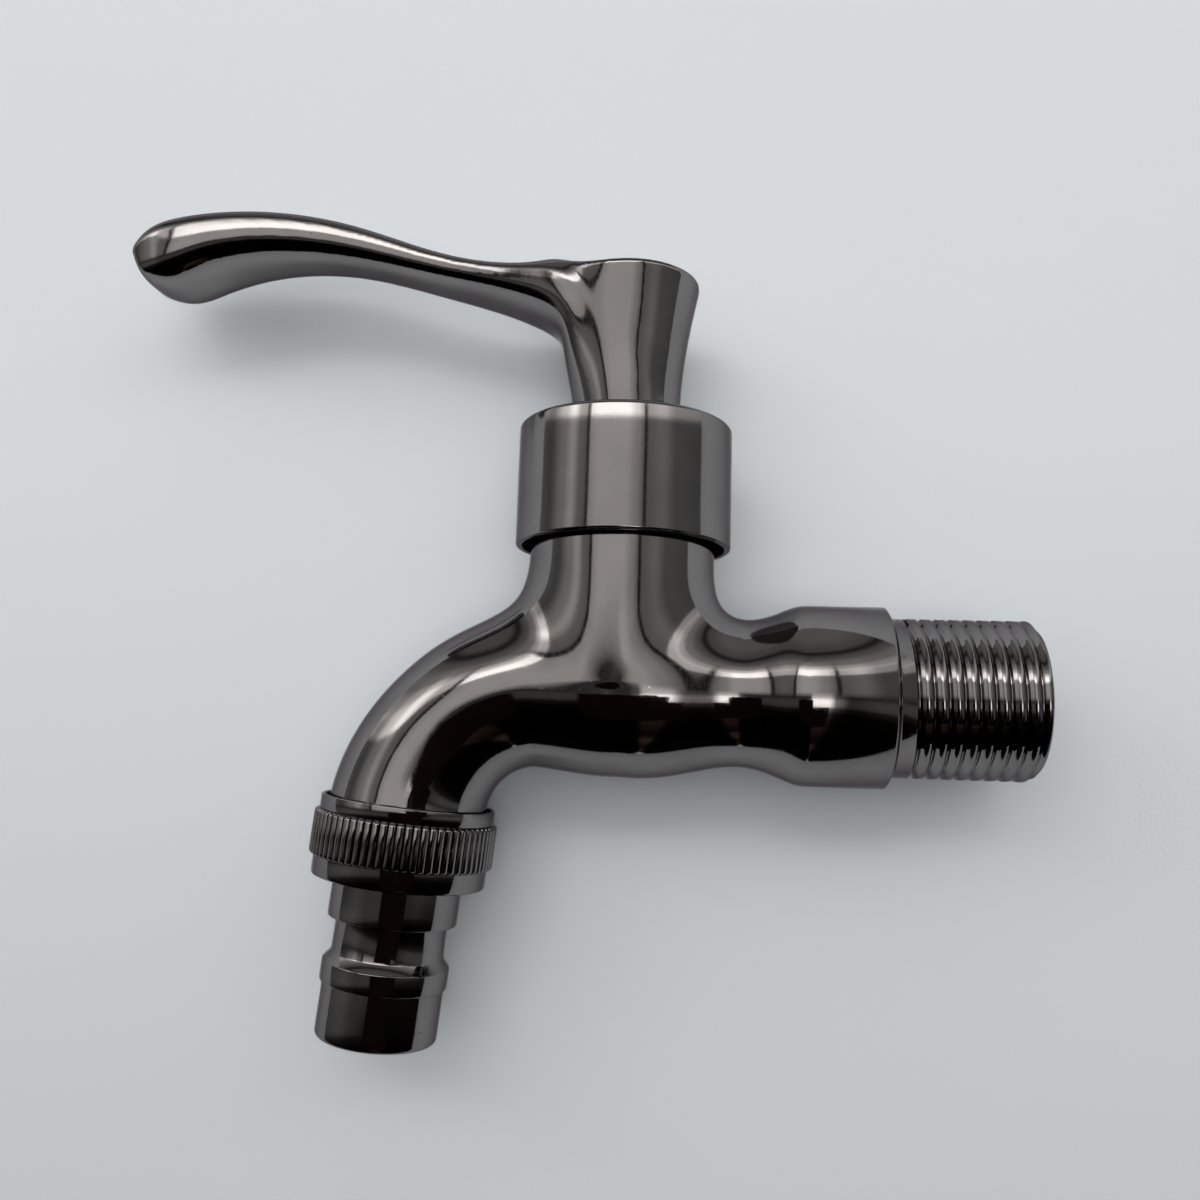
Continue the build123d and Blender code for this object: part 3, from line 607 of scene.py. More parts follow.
@dataclass
class BodySkin:
    """The cast body's outer form: run, bend and spout in one tube, with the neck blended in.

    A run station is a place along the inlet's axis and a spout station a share of the bend's
    length, each with the tube's diameter; a neck station is a height with the neck's diameter.
    Four points shape the bend, along the inlet's axis and up. The neck's blend reaches further
    on the spout's side than on the wall's, and changes over a stretch of the inlet's axis. The
    centreline starts inside the collar and overruns the spout's end.
    """

    run_stations: tuple[Pair, ...] = (
        (-13.5, 23.7), (-17.3, 21.4), (-21.1, 19.3), (-28.35, 21.0), (-35.6, 22.7), (-41.85, 21.65),
    )
    spout_stations: tuple[Pair, ...] = (
        (0.0, 20.6), (0.3, 20.2), (0.55, 19.8), (0.78, 20.2), (0.91, 20.6), (1.0, 21.0),
    )
    bend: tuple[Pair, ...] = ((-48.1, 0.0), (-57.3, 0.0), (-64.747, -8.128), (-65.791, -15.555))
    neck_stations: tuple[Pair, ...] = (
        (-2.0, 22.8), (3.0, 23.3), (8.0, 24.0), (13.0, 24.6), (18.0, 24.9), (27.0, 24.9),
    )
    spout_blend: float = 12.5
    wall_blend: float = 9.5
    blend_from: float = -46.0
    blend_over: float = 16.0
    start: float = -5.0
    overrun: float = 6.0
    samples: int = 300
    sides: int = 96

    def __post_init__(self) -> None:
        """Work out the centreline and the diameters along it."""
        t = np.linspace(0.0, 1.0, self.samples)[:, None]
        a, b, c, d = (np.array(point) for point in self.bend)
        curve = (1 - t) ** 3 * a + 3 * (1 - t) ** 2 * t * b + 3 * (1 - t) * t * t * c + t ** 3 * d
        collar = self.run_stations[0][0]
        straight = np.linspace([collar, 0.0], self.bend[0], self.samples)[:-1]
        last = curve[-1] - curve[-2]
        beyond = curve[-1] + last / np.linalg.norm(last) * self.overrun
        line = np.vstack([[self.start, 0.0], straight, curve, beyond])
        lengths = np.concatenate([[0.0], np.cumsum(np.linalg.norm(np.diff(line, axis=0), axis=1))])
        bend_from = lengths[self.samples]
        bend_length = lengths[-2] - bend_from
        places = [lengths[1] + (collar - x) for x, _ in self.run_stations]
        places += [bend_from + share * bend_length for share, _ in self.spout_stations]
        widths = [width for _, width in (*self.run_stations, *self.spout_stations)]
        self.spots = np.linspace(lengths[0], lengths[-1], 2 * self.samples)
        self.line = np.column_stack([np.interp(self.spots, lengths, line[:, k]) for k in (0, 1)])
        self.radii = SmoothLine(places, np.array(widths) / 2, level_start=True).at(self.spots)[:, 0]
        self.neck = SmoothLine(*zip(*((height, width / 2) for height, width in self.neck_stations)))

    def tube_part(self, points: np.ndarray) -> np.ndarray:
        """Measure a few thousand points from the tube.

        Args:
            points: the points.

        Returns:
            Their distances to its surface.
        """
        step = self.spots[1] - self.spots[0]
        flat = points[:, [0, 2]]
        near = np.clip(nearest(flat, self.line), 1, len(self.line) - 2)
        tangent = (self.line[near + 1] - self.line[near - 1]) / (2 * step)
        ahead = ((flat - self.line[near]) * tangent).sum(axis=1)
        centre = self.line[near] + ahead[:, None] * tangent
        radius = np.interp(self.spots[near] + ahead, self.spots, self.radii)
        return np.hypot(np.linalg.norm(flat - centre, axis=1), points[:, 1]) - radius

    def tube(self, points: np.ndarray) -> np.ndarray:
        """Return distances to the tube along run, bend and spout."""
        return in_parts(self.tube_part, points)

    def neck_side(self, points: np.ndarray) -> np.ndarray:
        """Measure points from the neck, closed below by a ball.

        Args:
            points: the points.

        Returns:
            Their distances to its surface.
        """
        across = from_spindle(points)
        beside = across - self.neck.at(points[:, 2])[:, 0]
        ball = np.hypot(across, points[:, 2]) - self.neck_stations[0][1] / 2
        return np.where(points[:, 2] > 0, beside, ball)

    def field(self, points: np.ndarray) -> np.ndarray:
        """Measure points from the whole skin, with a fillet where the surfaces turn apart.

        Args:
            points: the points.

        Returns:
            Their distances to its surface.
        """
        low = np.minimum(points[:, 2], 0.0)
        round_neck = np.hypot(from_spindle(points) + 1e-6, low)
        round_tube = np.hypot(points[:, 1], points[:, 2]) + 1e-6
        agree = (points[:, 1] ** 2 + low * points[:, 2]) / (round_neck * round_tube)
        apart = np.sqrt(np.clip(1.0 - agree, 0.0, 1.0))
        side = np.clip((points[:, 0] - self.blend_from) / self.blend_over, 0.0, 1.0)
        side = side * side * (3 - 2 * side)
        reach = (self.spout_blend + (self.wall_blend - self.spout_blend) * side) * apart + 0.05
        return joined_softly(self.tube(points), self.neck_side(points), reach)

    def shells(self) -> list[Shell]:
        """Model the form roughly.

        Returns:
            The tube and the neck as closed shells.
        """
        angles = np.linspace(0.0, 2 * math.pi, self.sides, endpoint=False)
        rings = []
        for k in range(0, len(self.line), 6):
            tangent = self.line[min(k + 1, len(self.line) - 1)] - self.line[max(k - 1, 0)]
            tangent = tangent / np.linalg.norm(tangent)
            tilt, radius = (-tangent[1], tangent[0]), self.radii[k]
            rings.append(tilted_ring(self.line[k], tilt, radius, radius, angles))
        heights = np.linspace(self.neck_stations[0][0], self.neck_stations[-1][0], 30)
        neck = rings_round_spindle(heights, self.neck.at(heights)[:, 0], angles)
        return [swept_shell(rings), swept_shell(neck)]


@dataclass
class LeverSkin:
    """The lever's outer form: the flared hub with the swan-neck arm blended in.

    An arm station holds its underside and its crown, each as a distance from the spindle and a
    height, and its half width. The hub's foot, middle and rim are heights with diameters. The
    arm is widest above its middle, by a share of half its height; the powers say how square its
    section is above and below that, where 2 is round.
    """

    arm_stations: tuple[tuple[Pair, Pair, float], ...] = (
        ((3.0, 37.5), (-3.0, 40.0), 4.0),
        ((6.2, 42.6), (0.8, 46.5), 5.4),
        ((8.0, 46.3), (3.6, 53.2), 6.7),
        ((9.8, 50.0), (8.8, 58.3), 7.5),
        ((14.9, 53.0), (14.6, 59.1), 6.6),
        ((27.0, 56.8), (27.0, 61.3), 5.0),
        ((39.0, 59.8), (39.2, 65.6), 4.8),
        ((52.0, 60.5), (53.0, 67.8), 6.0),
        ((62.0, 58.1), (65.0, 67.0), 6.9),
        ((67.4, 56.7), (70.6, 65.0), 6.2),
        ((70.7, 57.5), (72.8, 62.7), 4.9),
    )
    hub_foot: Pair = (36.4, 14.6)
    hub_middle: Pair = (49.0, 16.8)
    hub_rim: Pair = (56.9, 19.9)
    rim_round: float = 1.3
    root_round: float = 0.5
    tip_round: float = 1.5
    join_blend: float = 6.3
    widest: float = 0.3
    dome_power: float = 2.4
    flat_power: float = 3.2
    samples: int = 2001
    sides: int = 80

    def __post_init__(self) -> None:
        """Work out the arm's lines and the hub's profile."""
        rows = [
            (SPINDLE_X - foot[0], foot[1], SPINDLE_X - top[0], top[1], half)
            for foot, top, half in self.arm_stations
        ]
        middles = np.array([((a + c) / 2, (b + d) / 2) for a, b, c, d, _ in rows])
        gaps = np.linalg.norm(np.diff(middles, axis=0), axis=1)
        places = np.concatenate([[0.0], np.cumsum(gaps)])
        self.spots = np.linspace(0.0, places[-1], self.samples)
        self.lines = SmoothLine(places, rows).at(self.spots)
        self.some_spots = self.spots[::10]
        self.middles = (self.lines[::10, 0:2] + self.lines[::10, 2:4]) / 2
        rises = np.array([self.hub_middle[0], self.hub_rim[0]]) - self.hub_foot[0]
        growth = (np.array([self.hub_middle[1], self.hub_rim[1]]) - self.hub_foot[1]) / 2
        self.flare = np.linalg.solve(np.column_stack([rises ** 2, rises ** 3]), growth)

    def section(self, spots: np.ndarray) -> tuple[np.ndarray, ...]:
        """Look up the arm's section.

        Args:
            spots: places along the arm.

        Returns:
            Foot, upward direction, height, half width and forward direction at each.
        """
        foot = np.column_stack([np.interp(spots, self.spots, self.lines[:, k]) for k in (0, 1)])
        top = np.column_stack([np.interp(spots, self.spots, self.lines[:, k]) for k in (2, 3)])
        half = np.interp(spots, self.spots, self.lines[:, 4])
        upward = top - foot
        height = np.linalg.norm(upward, axis=1)
        upward = upward / height[:, None]
        forward = np.column_stack([-upward[:, 1], upward[:, 0]])
        return foot, upward, height, half, forward

    def arm_part(self, points: np.ndarray, rounds: int = 6) -> np.ndarray:
        """Return distances to the arm's side for a few thousand points.

        Args:
            points: the points.
            rounds: how many times the nearest section is sought.

        Returns:
            The distances, as if the arm went on past both its ends.
        """
        flat = points[:, [0, 2]]
        spots = self.some_spots[nearest(flat, self.middles)]
        for _ in range(rounds):
            foot, _, _, _, forward = self.section(spots)
            spots = np.clip(spots + ((flat - foot) * forward).sum(axis=1), 0.0, self.spots[-1])
        foot, upward, height, half, forward = self.section(spots)
        level = ((flat - foot) * upward).sum(axis=1) / height * 2 - 1 - self.widest
        across = np.abs(points[:, 1]) / half
        above = level > 0
        power = np.where(above, self.dome_power, self.flat_power)
        share = np.where(above, 1 - self.widest, 1 + self.widest)
        level = np.abs(level) / share
        size = (across ** power + level ** power) ** (1 / power) + 1e-9
        lean_out = (across / size) ** (power - 1) / half
        lean_up = (level / size) ** (power - 1) / (share * height / 2)
        return (size - 1) / np.maximum(np.hypot(lean_out, lean_up), 0.05)

    def arm(self, points: np.ndarray) -> np.ndarray:
        """Measure points from the arm, cut off at its first and last sections.

        Args:
            points: the points.

        Returns:
            Their distances to its surface.
        """
        foot, _, _, _, forward = self.section(self.spots[[0, -1]])
        before = -((points[:, [0, 2]] - foot[0]) @ forward[0])
        after = (points[:, [0, 2]] - foot[1]) @ forward[1]
        side = in_parts(self.arm_part, points)
        return cut_softly(cut_softly(side, before, self.root_round), after, self.tip_round)

    def hub_radius(self, heights: np.ndarray) -> np.ndarray:
        """Return the flared hub's radius at given heights."""
        rise = np.clip(heights - self.hub_foot[0], 0.0, None)
        return self.hub_foot[1] / 2 + self.flare[0] * rise ** 2 + self.flare[1] * rise ** 3

    def field(self, points: np.ndarray) -> np.ndarray:
        """Measure points from the whole lever.

        Args:
            points: the points.

        Returns:
            Their distances to its surface.
        """
        side = from_spindle(points) - self.hub_radius(points[:, 2])
        hub = cut_softly(side, points[:, 2] - self.hub_rim[0], self.rim_round)
        whole = joined_softly(hub, self.arm(points), self.join_blend)
        return cut_softly(whole, self.hub_foot[0] - points[:, 2], 0.1)

    def shells(self) -> list[Shell]:
        """Model the form roughly.

        Returns:
            The hub and the arm as closed shells.
        """
        angles = np.linspace(0.0, 2 * math.pi, self.sides, endpoint=False)
        foot, upward, height, half, _ = self.section(self.spots[::20])
        middles = foot + upward * height[:, None] / 2
        arm = [tilted_ring(*sizes, angles) for sizes in zip(middles, upward, height / 2, half)]
        heights = np.linspace(self.hub_foot[0], self.hub_rim[0], 30)
        return [swept_shell(rings_round_spindle(heights, self.hub_radius(heights), angles)), swept_shell(arm)]


def merged_copy(node: str) -> bmesh.types.BMesh:
    """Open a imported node's faces for editing, with their shared corners merged.

    Args:
        node: the node's name.

    Returns:
        The mesh, in metres.
    """
    bm = bmesh.new()
    bm.from_mesh(frame["nodes"][node].data)
    bmesh.ops.remove_doubles(bm, verts=bm.verts, dist=1e-7)
    return bm


def keep_faces(bm: bmesh.types.BMesh, wanted: Callable[[np.ndarray, np.ndarray], np.ndarray]) -> None:
    """Delete every face that isn't wanted.

    Args:
        bm: the mesh to thin out.
        wanted: says, from the centres in millimetres and the normals, which faces stay.
    """
    faces = list(bm.faces)
    centres = np.array([face.calc_center_median() for face in faces]) / MM
    normals = np.array([face.normal for face in faces])
    stay = wanted(centres, normals)
    bmesh.ops.delete(bm, geom=[face for face, keep in zip(faces, stay) if not keep], context="FACES")


def add_scaled(bm: bmesh.types.BMesh, skin: bmesh.types.BMesh) -> None:
    """Add a skin to a mesh, and free the skin.

    Args:
        bm: the mesh, in metres.
        skin: the skin, in millimetres.
    """
    bmesh.ops.scale(skin, vec=(MM, MM, MM), verts=skin.verts)
    mesh = bpy.data.meshes.new("skin")
    skin.to_mesh(mesh)
    skin.free()
    bm.from_mesh(mesh)


def finish_piece(
    name: str, bm: bmesh.types.BMesh, material: bpy.types.Material, sharp_above: float = 32.0
) -> bpy.types.Object:
    """Turn a mesh being edited into a smooth-shaded object with sharp edges kept.

    Args:
        name: the object's name.
        bm: the mesh, freed here.
        material: its finish.
        sharp_above: the angle in degrees above which an edge stays sharp.

    Returns:
        The new object, linked to the scene.
    """
    mesh = bpy.data.meshes.new(name)
    for face in bm.faces:
        face.smooth = True
        face.material_index = 0
    bm.to_mesh(mesh)
    bm.free()
    mesh.set_sharp_from_angle(angle=math.radians(sharp_above))
    mesh.materials.clear()
    mesh.materials.append(material)
    LOG.info("%s: %d faces", name, len(mesh.polygons))
    return linked(name, mesh)


def hand_over(piece: bpy.types.Object, body: Body, slot: Slot, *nodes: str) -> None:
    """Hang a piece on the body that it rides on, and hide the nodes that it stands for.

    Args:
        piece: the piece.
        body: the body that it rides on.
        slot: its material slot; not used.
        nodes: the nodes that it stands for.
    """
    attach(piece, body.value)
    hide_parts(*nodes)


class ProfileNodes:
    """A geometry node group that shapes a piece from a profile; the classes below say how."""

    name: str = "piece"
    inputs: tuple[tuple[str, str, Any], ...] = ()

    def __init__(self) -> None:
        """Build the node group once."""
        self.tree = bpy.data.node_groups.new(self.name, "GeometryNodeTree")
        self.keys: dict[str, str] = {}
        ends = (("Profile", "NodeSocketGeometry", None), ("Material", "NodeSocketMaterial", None))
        for name, kind, value in (*ends, *self.inputs):
            socket = self.tree.interface.new_socket(name, in_out="INPUT", socket_type=kind)
            self.keys[name] = socket.identifier
            if value is not None:
                socket.default_value = value
        self.tree.interface.new_socket("Geometry", in_out="OUTPUT", socket_type="NodeSocketGeometry")
        graph = Graph(self.tree)
        given = graph.add("NodeGroupInput").outputs
        real = graph.add("GeometryNodeRealizeInstances", {"Geometry": self.shape(graph, given)}).outputs[0]
        dressed = graph.add("GeometryNodeSetMaterial", {"Geometry": real, "Material": given["Material"]})
        graph.add("NodeGroupOutput", {"Geometry": dressed.outputs[0]})

    def shape(self, graph: Graph, given: Any) -> Socket:
        """Return the shaped geometry, from the group's inputs."""
        raise NotImplementedError

    def run(
        self, points: Sequence[Point], edges: Sequence[tuple[int, int]], settings: dict[str, Any]
    ) -> bpy.types.Mesh:
        """Put a profile through the nodes.

        Args:
            points: the profile's corners, in millimetres.
            edges: the corners that it joins.
            settings: the group's other inputs, by name.

        Returns:
            The shaped mesh, in metres.
        """
        profile = bpy.data.meshes.new(self.name)
        profile.from_pydata([tuple(part * MM for part in point) for point in points], edges, [])
        holder = linked(self.name, profile)
        modifier = holder.modifiers.new(self.name, "NODES")
        modifier.node_group = self.tree
        for name, value in settings.items():
            modifier[self.keys[name]] = value
        return plain_mesh(holder)


class TurningNodes(ProfileNodes):
    """Turns a row of profile points about local Z, with ribs if asked.

    The profile's vertices come in order, each holding its radius in X and its height in Z.
    """

    name = "turned_piece"
    inputs = (
        ("Rows", "NodeSocketInt", 2),
        ("Segments", "NodeSocketInt", 96),
        ("Ribs", "NodeSocketInt", 0),
        ("Rib height", "NodeSocketFloat", 0.0),
        ("Rib start", "NodeSocketFloat", 0.0),
        ("Rib end", "NodeSocketFloat", 0.0),
        ("Rib foot radius", "NodeSocketFloat", 0.0),
    )
    rib_flatness: float = 0.3

    def shape(self, graph: Graph, given: Any) -> Socket:
        """Bend a grid round the axis along the profile, and sink the grooves between the ribs.

        Args:
            graph: the group's graph.
            given: the group's inputs.

        Returns:
            The shaped geometry.
        """
        columns = graph.maths("ADD", given["Segments"], 1.0)
        grid = graph.add(
            "GeometryNodeMeshGrid",
            {"Size X": 1.0, "Size Y": 1.0, "Vertices X": given["Rows"], "Vertices Y": columns},
        ).outputs["Mesh"]
        position = graph.add("GeometryNodeInputPosition").outputs[0]
        place = graph.split(position)
        last = graph.maths("SUBTRACT", given["Rows"], 1.0)
        row = graph.maths("ROUND", graph.product(graph.maths("ADD", place["X"], 0.5), last))
        point = graph.add(
            "GeometryNodeSampleIndex",
            {"Geometry": given["Profile"], "Value": position, "Index": row}, data_type="FLOAT_VECTOR",
        ).outputs[0]
        profile = graph.split(point)
        angle = graph.product(graph.maths("ADD", place["Y"], 0.5), 2 * math.pi)
        wave = graph.maths("ABSOLUTE", graph.maths("SINE", graph.product(angle, given["Ribs"], 0.5)))
        arch = graph.maths("POWER", wave, self.rib_flatness)
        ribbed = graph.product(
            graph.maths("GREATER_THAN", profile["Z"], given["Rib start"]),
            graph.maths("LESS_THAN", profile["Z"], given["Rib end"]),
            graph.maths("GREATER_THAN", profile["X"], given["Rib foot radius"]),
        )
        drop = graph.product(ribbed, given["Rib height"], graph.maths("SUBTRACT", 1.0, arch))
        radius = graph.maths("SUBTRACT", profile["X"], drop)
        turned = graph.add(
            "ShaderNodeCombineXYZ",
            {"X": graph.product(radius, graph.maths("COSINE", angle)),
             "Y": graph.product(radius, graph.maths("SINE", angle)), "Z": profile["Z"]},
        ).outputs[0]
        shaped = graph.add("GeometryNodeSetPosition", {"Geometry": grid, "Position": turned}).outputs[0]
        return graph.add("GeometryNodeMergeByDistance", {"Geometry": shaped, "Distance": 1e-6}).outputs[0]

    def turn(
        self, profile: Sequence[Pair], material: bpy.types.Material, settings: dict[str, Any]
    ) -> bpy.types.Mesh:
        """Turn a profile.

        Args:
            profile: radius and height of each point, in millimetres.
            material: the finish.
            settings: the group's other inputs, by name.

        Returns:
            The turned mesh, in metres about local Z.
        """
        points = [(radius, 0.0, height) for radius, height in profile]
        return self.run(points, [], {"Rows": len(points), "Material": material, **settings})


class ThreadNodes(ProfileNodes):
    """Sweeps a ridge along a helix about local Z, fading at both ends."""

    name = "thread_ridge"
    inputs = (
        ("Radius", "NodeSocketFloat", 0.01),
        ("Turns", "NodeSocketFloat", 2.0),
        ("Length", "NodeSocketFloat", 0.004),
        ("Points a turn", "NodeSocketInt", 72),
    )
    fade_rate: float = 24.0
    fade_least: float = 0.02

    def shape(self, graph: Graph, given: Any) -> Socket:
        """Carry the profile along a spiral curve.

        Args:
            graph: the group's graph.
            given: the group's inputs.

        Returns:
            The shaped geometry.
        """
        spiral = graph.add(
            "GeometryNodeCurveSpiral",
            {"Resolution": given["Points a turn"], "Rotations": given["Turns"], "Height": given["Length"],
             "Start Radius": given["Radius"], "End Radius": given["Radius"]},
        ).outputs[0]
        upright = graph.add("GeometryNodeSetCurveNormal", {"Curve": spiral}, mode="Z_UP").outputs[0]
        along = graph.add("GeometryNodeSplineParameter").outputs["Factor"]
        ends = graph.product(along, graph.maths("SUBTRACT", 1.0, along), self.fade_rate)
        fade = graph.maths("ADD", graph.maths("MINIMUM", ends, 1.0 - self.fade_least), self.fade_least)
        thick = graph.add("GeometryNodeSetCurveRadius", {"Curve": upright, "Radius": fade}).outputs[0]
        ridge = graph.add("GeometryNodeMeshToCurve", {"Mesh": given["Profile"]}).outputs[0]
        parts = {"Curve": thick, "Profile Curve": ridge, "Scale": fade, "Fill Caps": True}
        return graph.add("GeometryNodeCurveToMesh", parts).outputs[0]

    def sweep(
        self, profile: Sequence[Pair], material: bpy.types.Material, settings: dict[str, Any]
    ) -> bpy.types.Mesh:
        """Sweep a closed ridge profile.

        Args:
            profile: corners of the ridge, outwards and along the axis, in millimetres.
            material: the finish.
            settings: the group's other inputs, by name.

        Returns:
            The ridge's mesh, in metres about local Z.
        """
        points = [(out, along, 0.0) for out, along in profile]
        edges = [(k, (k + 1) % len(points)) for k in range(len(points))]
        return self.run(points, edges, {"Material": material, **settings})


def arc(middle: Pair, radius: float, start: float, end: float, steps: int = 5) -> list[Pair]:
    """Return points of an arc in a profile.

    Args:
        middle: radius and height of its centre.
        radius: its own radius.
        start: first angle in degrees, where 0 points outwards and 90 up.
        end: last angle in degrees.
        steps: how many stretches it has.

    Returns:
        The points in order.
    """
    angles = (math.radians(start + (end - start) * k / steps) for k in range(steps + 1))
    return [(middle[0] + radius * math.cos(a), middle[1] + radius * math.sin(a)) for a in angles]


@dataclass
class TapBody:
    """The cast body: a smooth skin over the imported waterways, thread and collar.

    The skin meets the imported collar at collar_start, along the inlet's axis, and covers the
    packed faces that lie less than skin_depth under it. The spout's thread is measured along
    the outlet: a root cylinder with a ridge, whose foot and top are half widths and whose ends
    stay thread_run_in away from the root's. A hair is a distance too small to see.
    """

    finishes: Finishes
    turning: TurningNodes
    thread: ThreadNodes
    grain: float = 0.45
    collar_start: float = -13.5
    neck_top: float = 27.0
    skin_depth: float = 0.9
    thread_from: float = 2.0
    thread_to: float = 6.4
    thread_crest: float = 10.3
    thread_depth: float = 0.85
    thread_pitch: float = 1.8143
    thread_run_in: float = 0.45
    ridge_foot: float = 0.72
    ridge_top: float = 0.25
    hair: float = 0.01

    def build(self) -> None:
        """Make the body in place of its node."""
        material = self.finishes.get(Look.CAST_BODY)
        skin = BodySkin()
        outer = fitted_skin(skin.field, voxel_skin(skin.shells(), self.grain))
        outlet = OUTLET.matrix()
        cuts = (
            ((self.collar_start, 0.0, 0.0), (1.0, 0.0, 0.0)),
            ((0.0, 0.0, self.neck_top), (0.0, 0.0, 1.0)),
            (tuple(outlet.translation / MM), OUTLET.direction),
        )
        for point, outward in cuts:
            everything = [*outer.verts, *outer.edges, *outer.faces]
            bmesh.ops.bisect_plane(outer, geom=everything, plane_co=point, plane_no=outward, clear_outer=True)
        body = merged_copy("tap_body")
        keep_faces(body, lambda centres, normals: self.stays(skin, centres, normals))
        add_scaled(body, outer)
        for mesh in self.spout_thread(material):
            mesh.transform(outlet)
            body.from_mesh(mesh)
        piece = finish_piece("tap_body_skin", body, material)
        hand_over(piece, Body.TAP, Slot.BODY, "tap_body")

    def stays(self, skin: BodySkin, centres: np.ndarray, normals: np.ndarray) -> np.ndarray:
        """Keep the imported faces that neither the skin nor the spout's new thread replaces.

        Args:
            skin: the new skin's form.
            centres: the faces' centres.
            normals: the faces' normals.

        Returns:
            Whether each face stays.
        """
        back = np.array(OUTLET.matrix().inverted())
        local = centres * MM @ back[:3, :3].T + back[:3, 3]
        along = local[:, 2] / MM
        out = np.hypot(local[:, 0], local[:, 1]) / MM
        depth = np.minimum(skin.tube(centres), skin.neck_side(centres))
        covered = (depth > -self.skin_depth) & (centres[:, 0] < self.collar_start + 0.1 * self.hair)
        covered &= along < 0.1 * self.hair
        covered &= ~((centres[:, 2] > self.neck_top - self.hair) & (normals[:, 2] > 0.9))
        crest = (out > self.thread_crest - 10 * self.hair) & (along > self.thread_from + self.hair)
        crest &= (along < self.thread_to - 0.1 * self.hair) & (centres[:, 0] < self.collar_start)
        return ~(covered | crest)

    def spout_thread(self, material: bpy.types.Material) -> list[bpy.types.Mesh]:
        """Make the spout's screwed end.

        Args:
            material: the finish.

        Returns:
            A root cylinder and the ridge that winds round it, about local Z.
        """
        root = self.thread_crest - self.thread_depth
        turns = (self.thread_to - self.thread_from - 2 * self.thread_run_in) / self.thread_pitch
        core = self.turning.turn(
            [(self.thread_crest + 0.2, self.thread_from), (root, self.thread_from + 0.05),
             (root, self.thread_to - 0.3), (root - 0.25, self.thread_to)],
            material, {"Segments": 128},
        )
        ridge = self.thread.sweep(
            [(-0.1, -self.ridge_foot), (self.thread_depth, -self.ridge_top),
             (self.thread_depth, self.ridge_top), (-0.1, self.ridge_foot)],
            material, {"Radius": root * MM, "Turns": turns, "Length": turns * self.thread_pitch * MM},
        )
        ridge.transform(Matrix.Translation((0.0, 0.0, (self.thread_from + self.thread_run_in) * MM)))
        return [core, ridge]


@dataclass
class LeverHandle:
    """The lever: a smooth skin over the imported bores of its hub.

    The recess is the round hole in the hub's top and the skirt the one in its foot. A point
    belongs to one of these ends if it lies level_within of the end's height.
    """

    finishes: Finishes
    grain: float = 0.4
    recess_radius: float = 6.0
    skirt_radius: float = 6.1
    level_within: float = 0.3
    sharp_above: float = 40.0
    hair: float = 0.01

    def build(self) -> None:
        """Make the lever in place of its node."""
        skin = LeverSkin()
        outer = fitted_skin(skin.field, voxel_skin(skin.shells(), self.grain))
        foot, rim = skin.hub_foot[0], skin.hub_rim[0]
        self.open_hole(outer, self.skirt_radius, foot)
        self.open_hole(outer, self.recess_radius, rim)
        lever = merged_copy("lever_handle")
        keep_faces(lever, lambda centres, normals: self.bores(centres, foot, rim))
        add_scaled(lever, outer)
        piece = finish_piece("lever_skin", lever, self.finishes.get(Look.LEVER), self.sharp_above)
        hand_over(piece, Body.LEVER, Slot.LEVER, "lever_handle")

    def bores(self, centres: np.ndarray, foot: float, rim: float) -> np.ndarray:
        """Keep the inner walls and steps of the hub, between the heights of its foot and rim."""
        ends = (np.abs(centres[:, 2] - foot) < self.hair) | (np.abs(centres[:, 2] - rim) < self.hair)
        return (from_spindle(centres) < self.skirt_radius + 0.1) & ~ends & (centres[:, 2] < rim + self.hair)

    def open_hole(self, bm: bmesh.types.BMesh, radius: float, height: float) -> None:
        """Open a round hole about the spindle in a flat end of the hub.

        Args:
            bm: the skin.
            radius: the hole's radius.
            height: the end's height.
        """
        places = np.array([vert.co for vert in bm.verts])
        across = from_spindle(places)
        level = np.abs(places[:, 2] - height) < self.level_within
        inner = {vert for vert, inside in zip(bm.verts, level & (across < radius)) if inside}
        near = [(vert, gap) for vert, gap, ok in zip(bm.verts, across, level & (across < radius + 1.0)) if ok]
        gone = [face for face in bm.faces if all(vert in inner for vert in face.verts)]
        bmesh.ops.delete(bm, geom=gone, context="FACES")
        for vert, gap in near:
            if vert.is_valid and vert.is_boundary:
                vert.co.x = SPINDLE_X + (vert.co.x - SPINDLE_X) * radius / gap
                vert.co.y *= radius / gap


@dataclass
class TurnedPiece:
    """A piece turned about an axis of the tap; the classes below give its section and sizes.

    Args:
        finishes: the finishes.
        turning: the turning nodes.
    """

    name: ClassVar[str]
    node: ClassVar[str]
    body: ClassVar[Body]
    look: ClassVar[Look] = Look.OUTLET_TRIM
    axis: ClassVar[Axis] = OUTLET
    segments: ClassVar[int] = 160
    sharp_above: ClassVar[float] = 32.0
    finishes: Finishes
    turning: TurningNodes

    def profile(self) -> list[Pair]:
        """Return the section as a closed row of points, each a radius and a height."""
        raise NotImplementedError

    def settings(self) -> dict[str, Any]:
        """Return the turning nodes' other inputs, by name."""
        return {"Segments": self.segments}

    def build(self) -> None:
        """Make the piece in place of its node."""
        material = self.finishes.get(self.look)
        mesh = self.turning.turn(self.profile(), material, self.settings())
        mesh.transform(self.axis.matrix())
        bm = bmesh.new()
        bm.from_mesh(mesh)
        bmesh.ops.recalc_face_normals(bm, faces=bm.faces)
        piece = finish_piece(self.name, bm, material, self.sharp_above)
        hand_over(piece, self.body, Slot.TRIM, self.node)


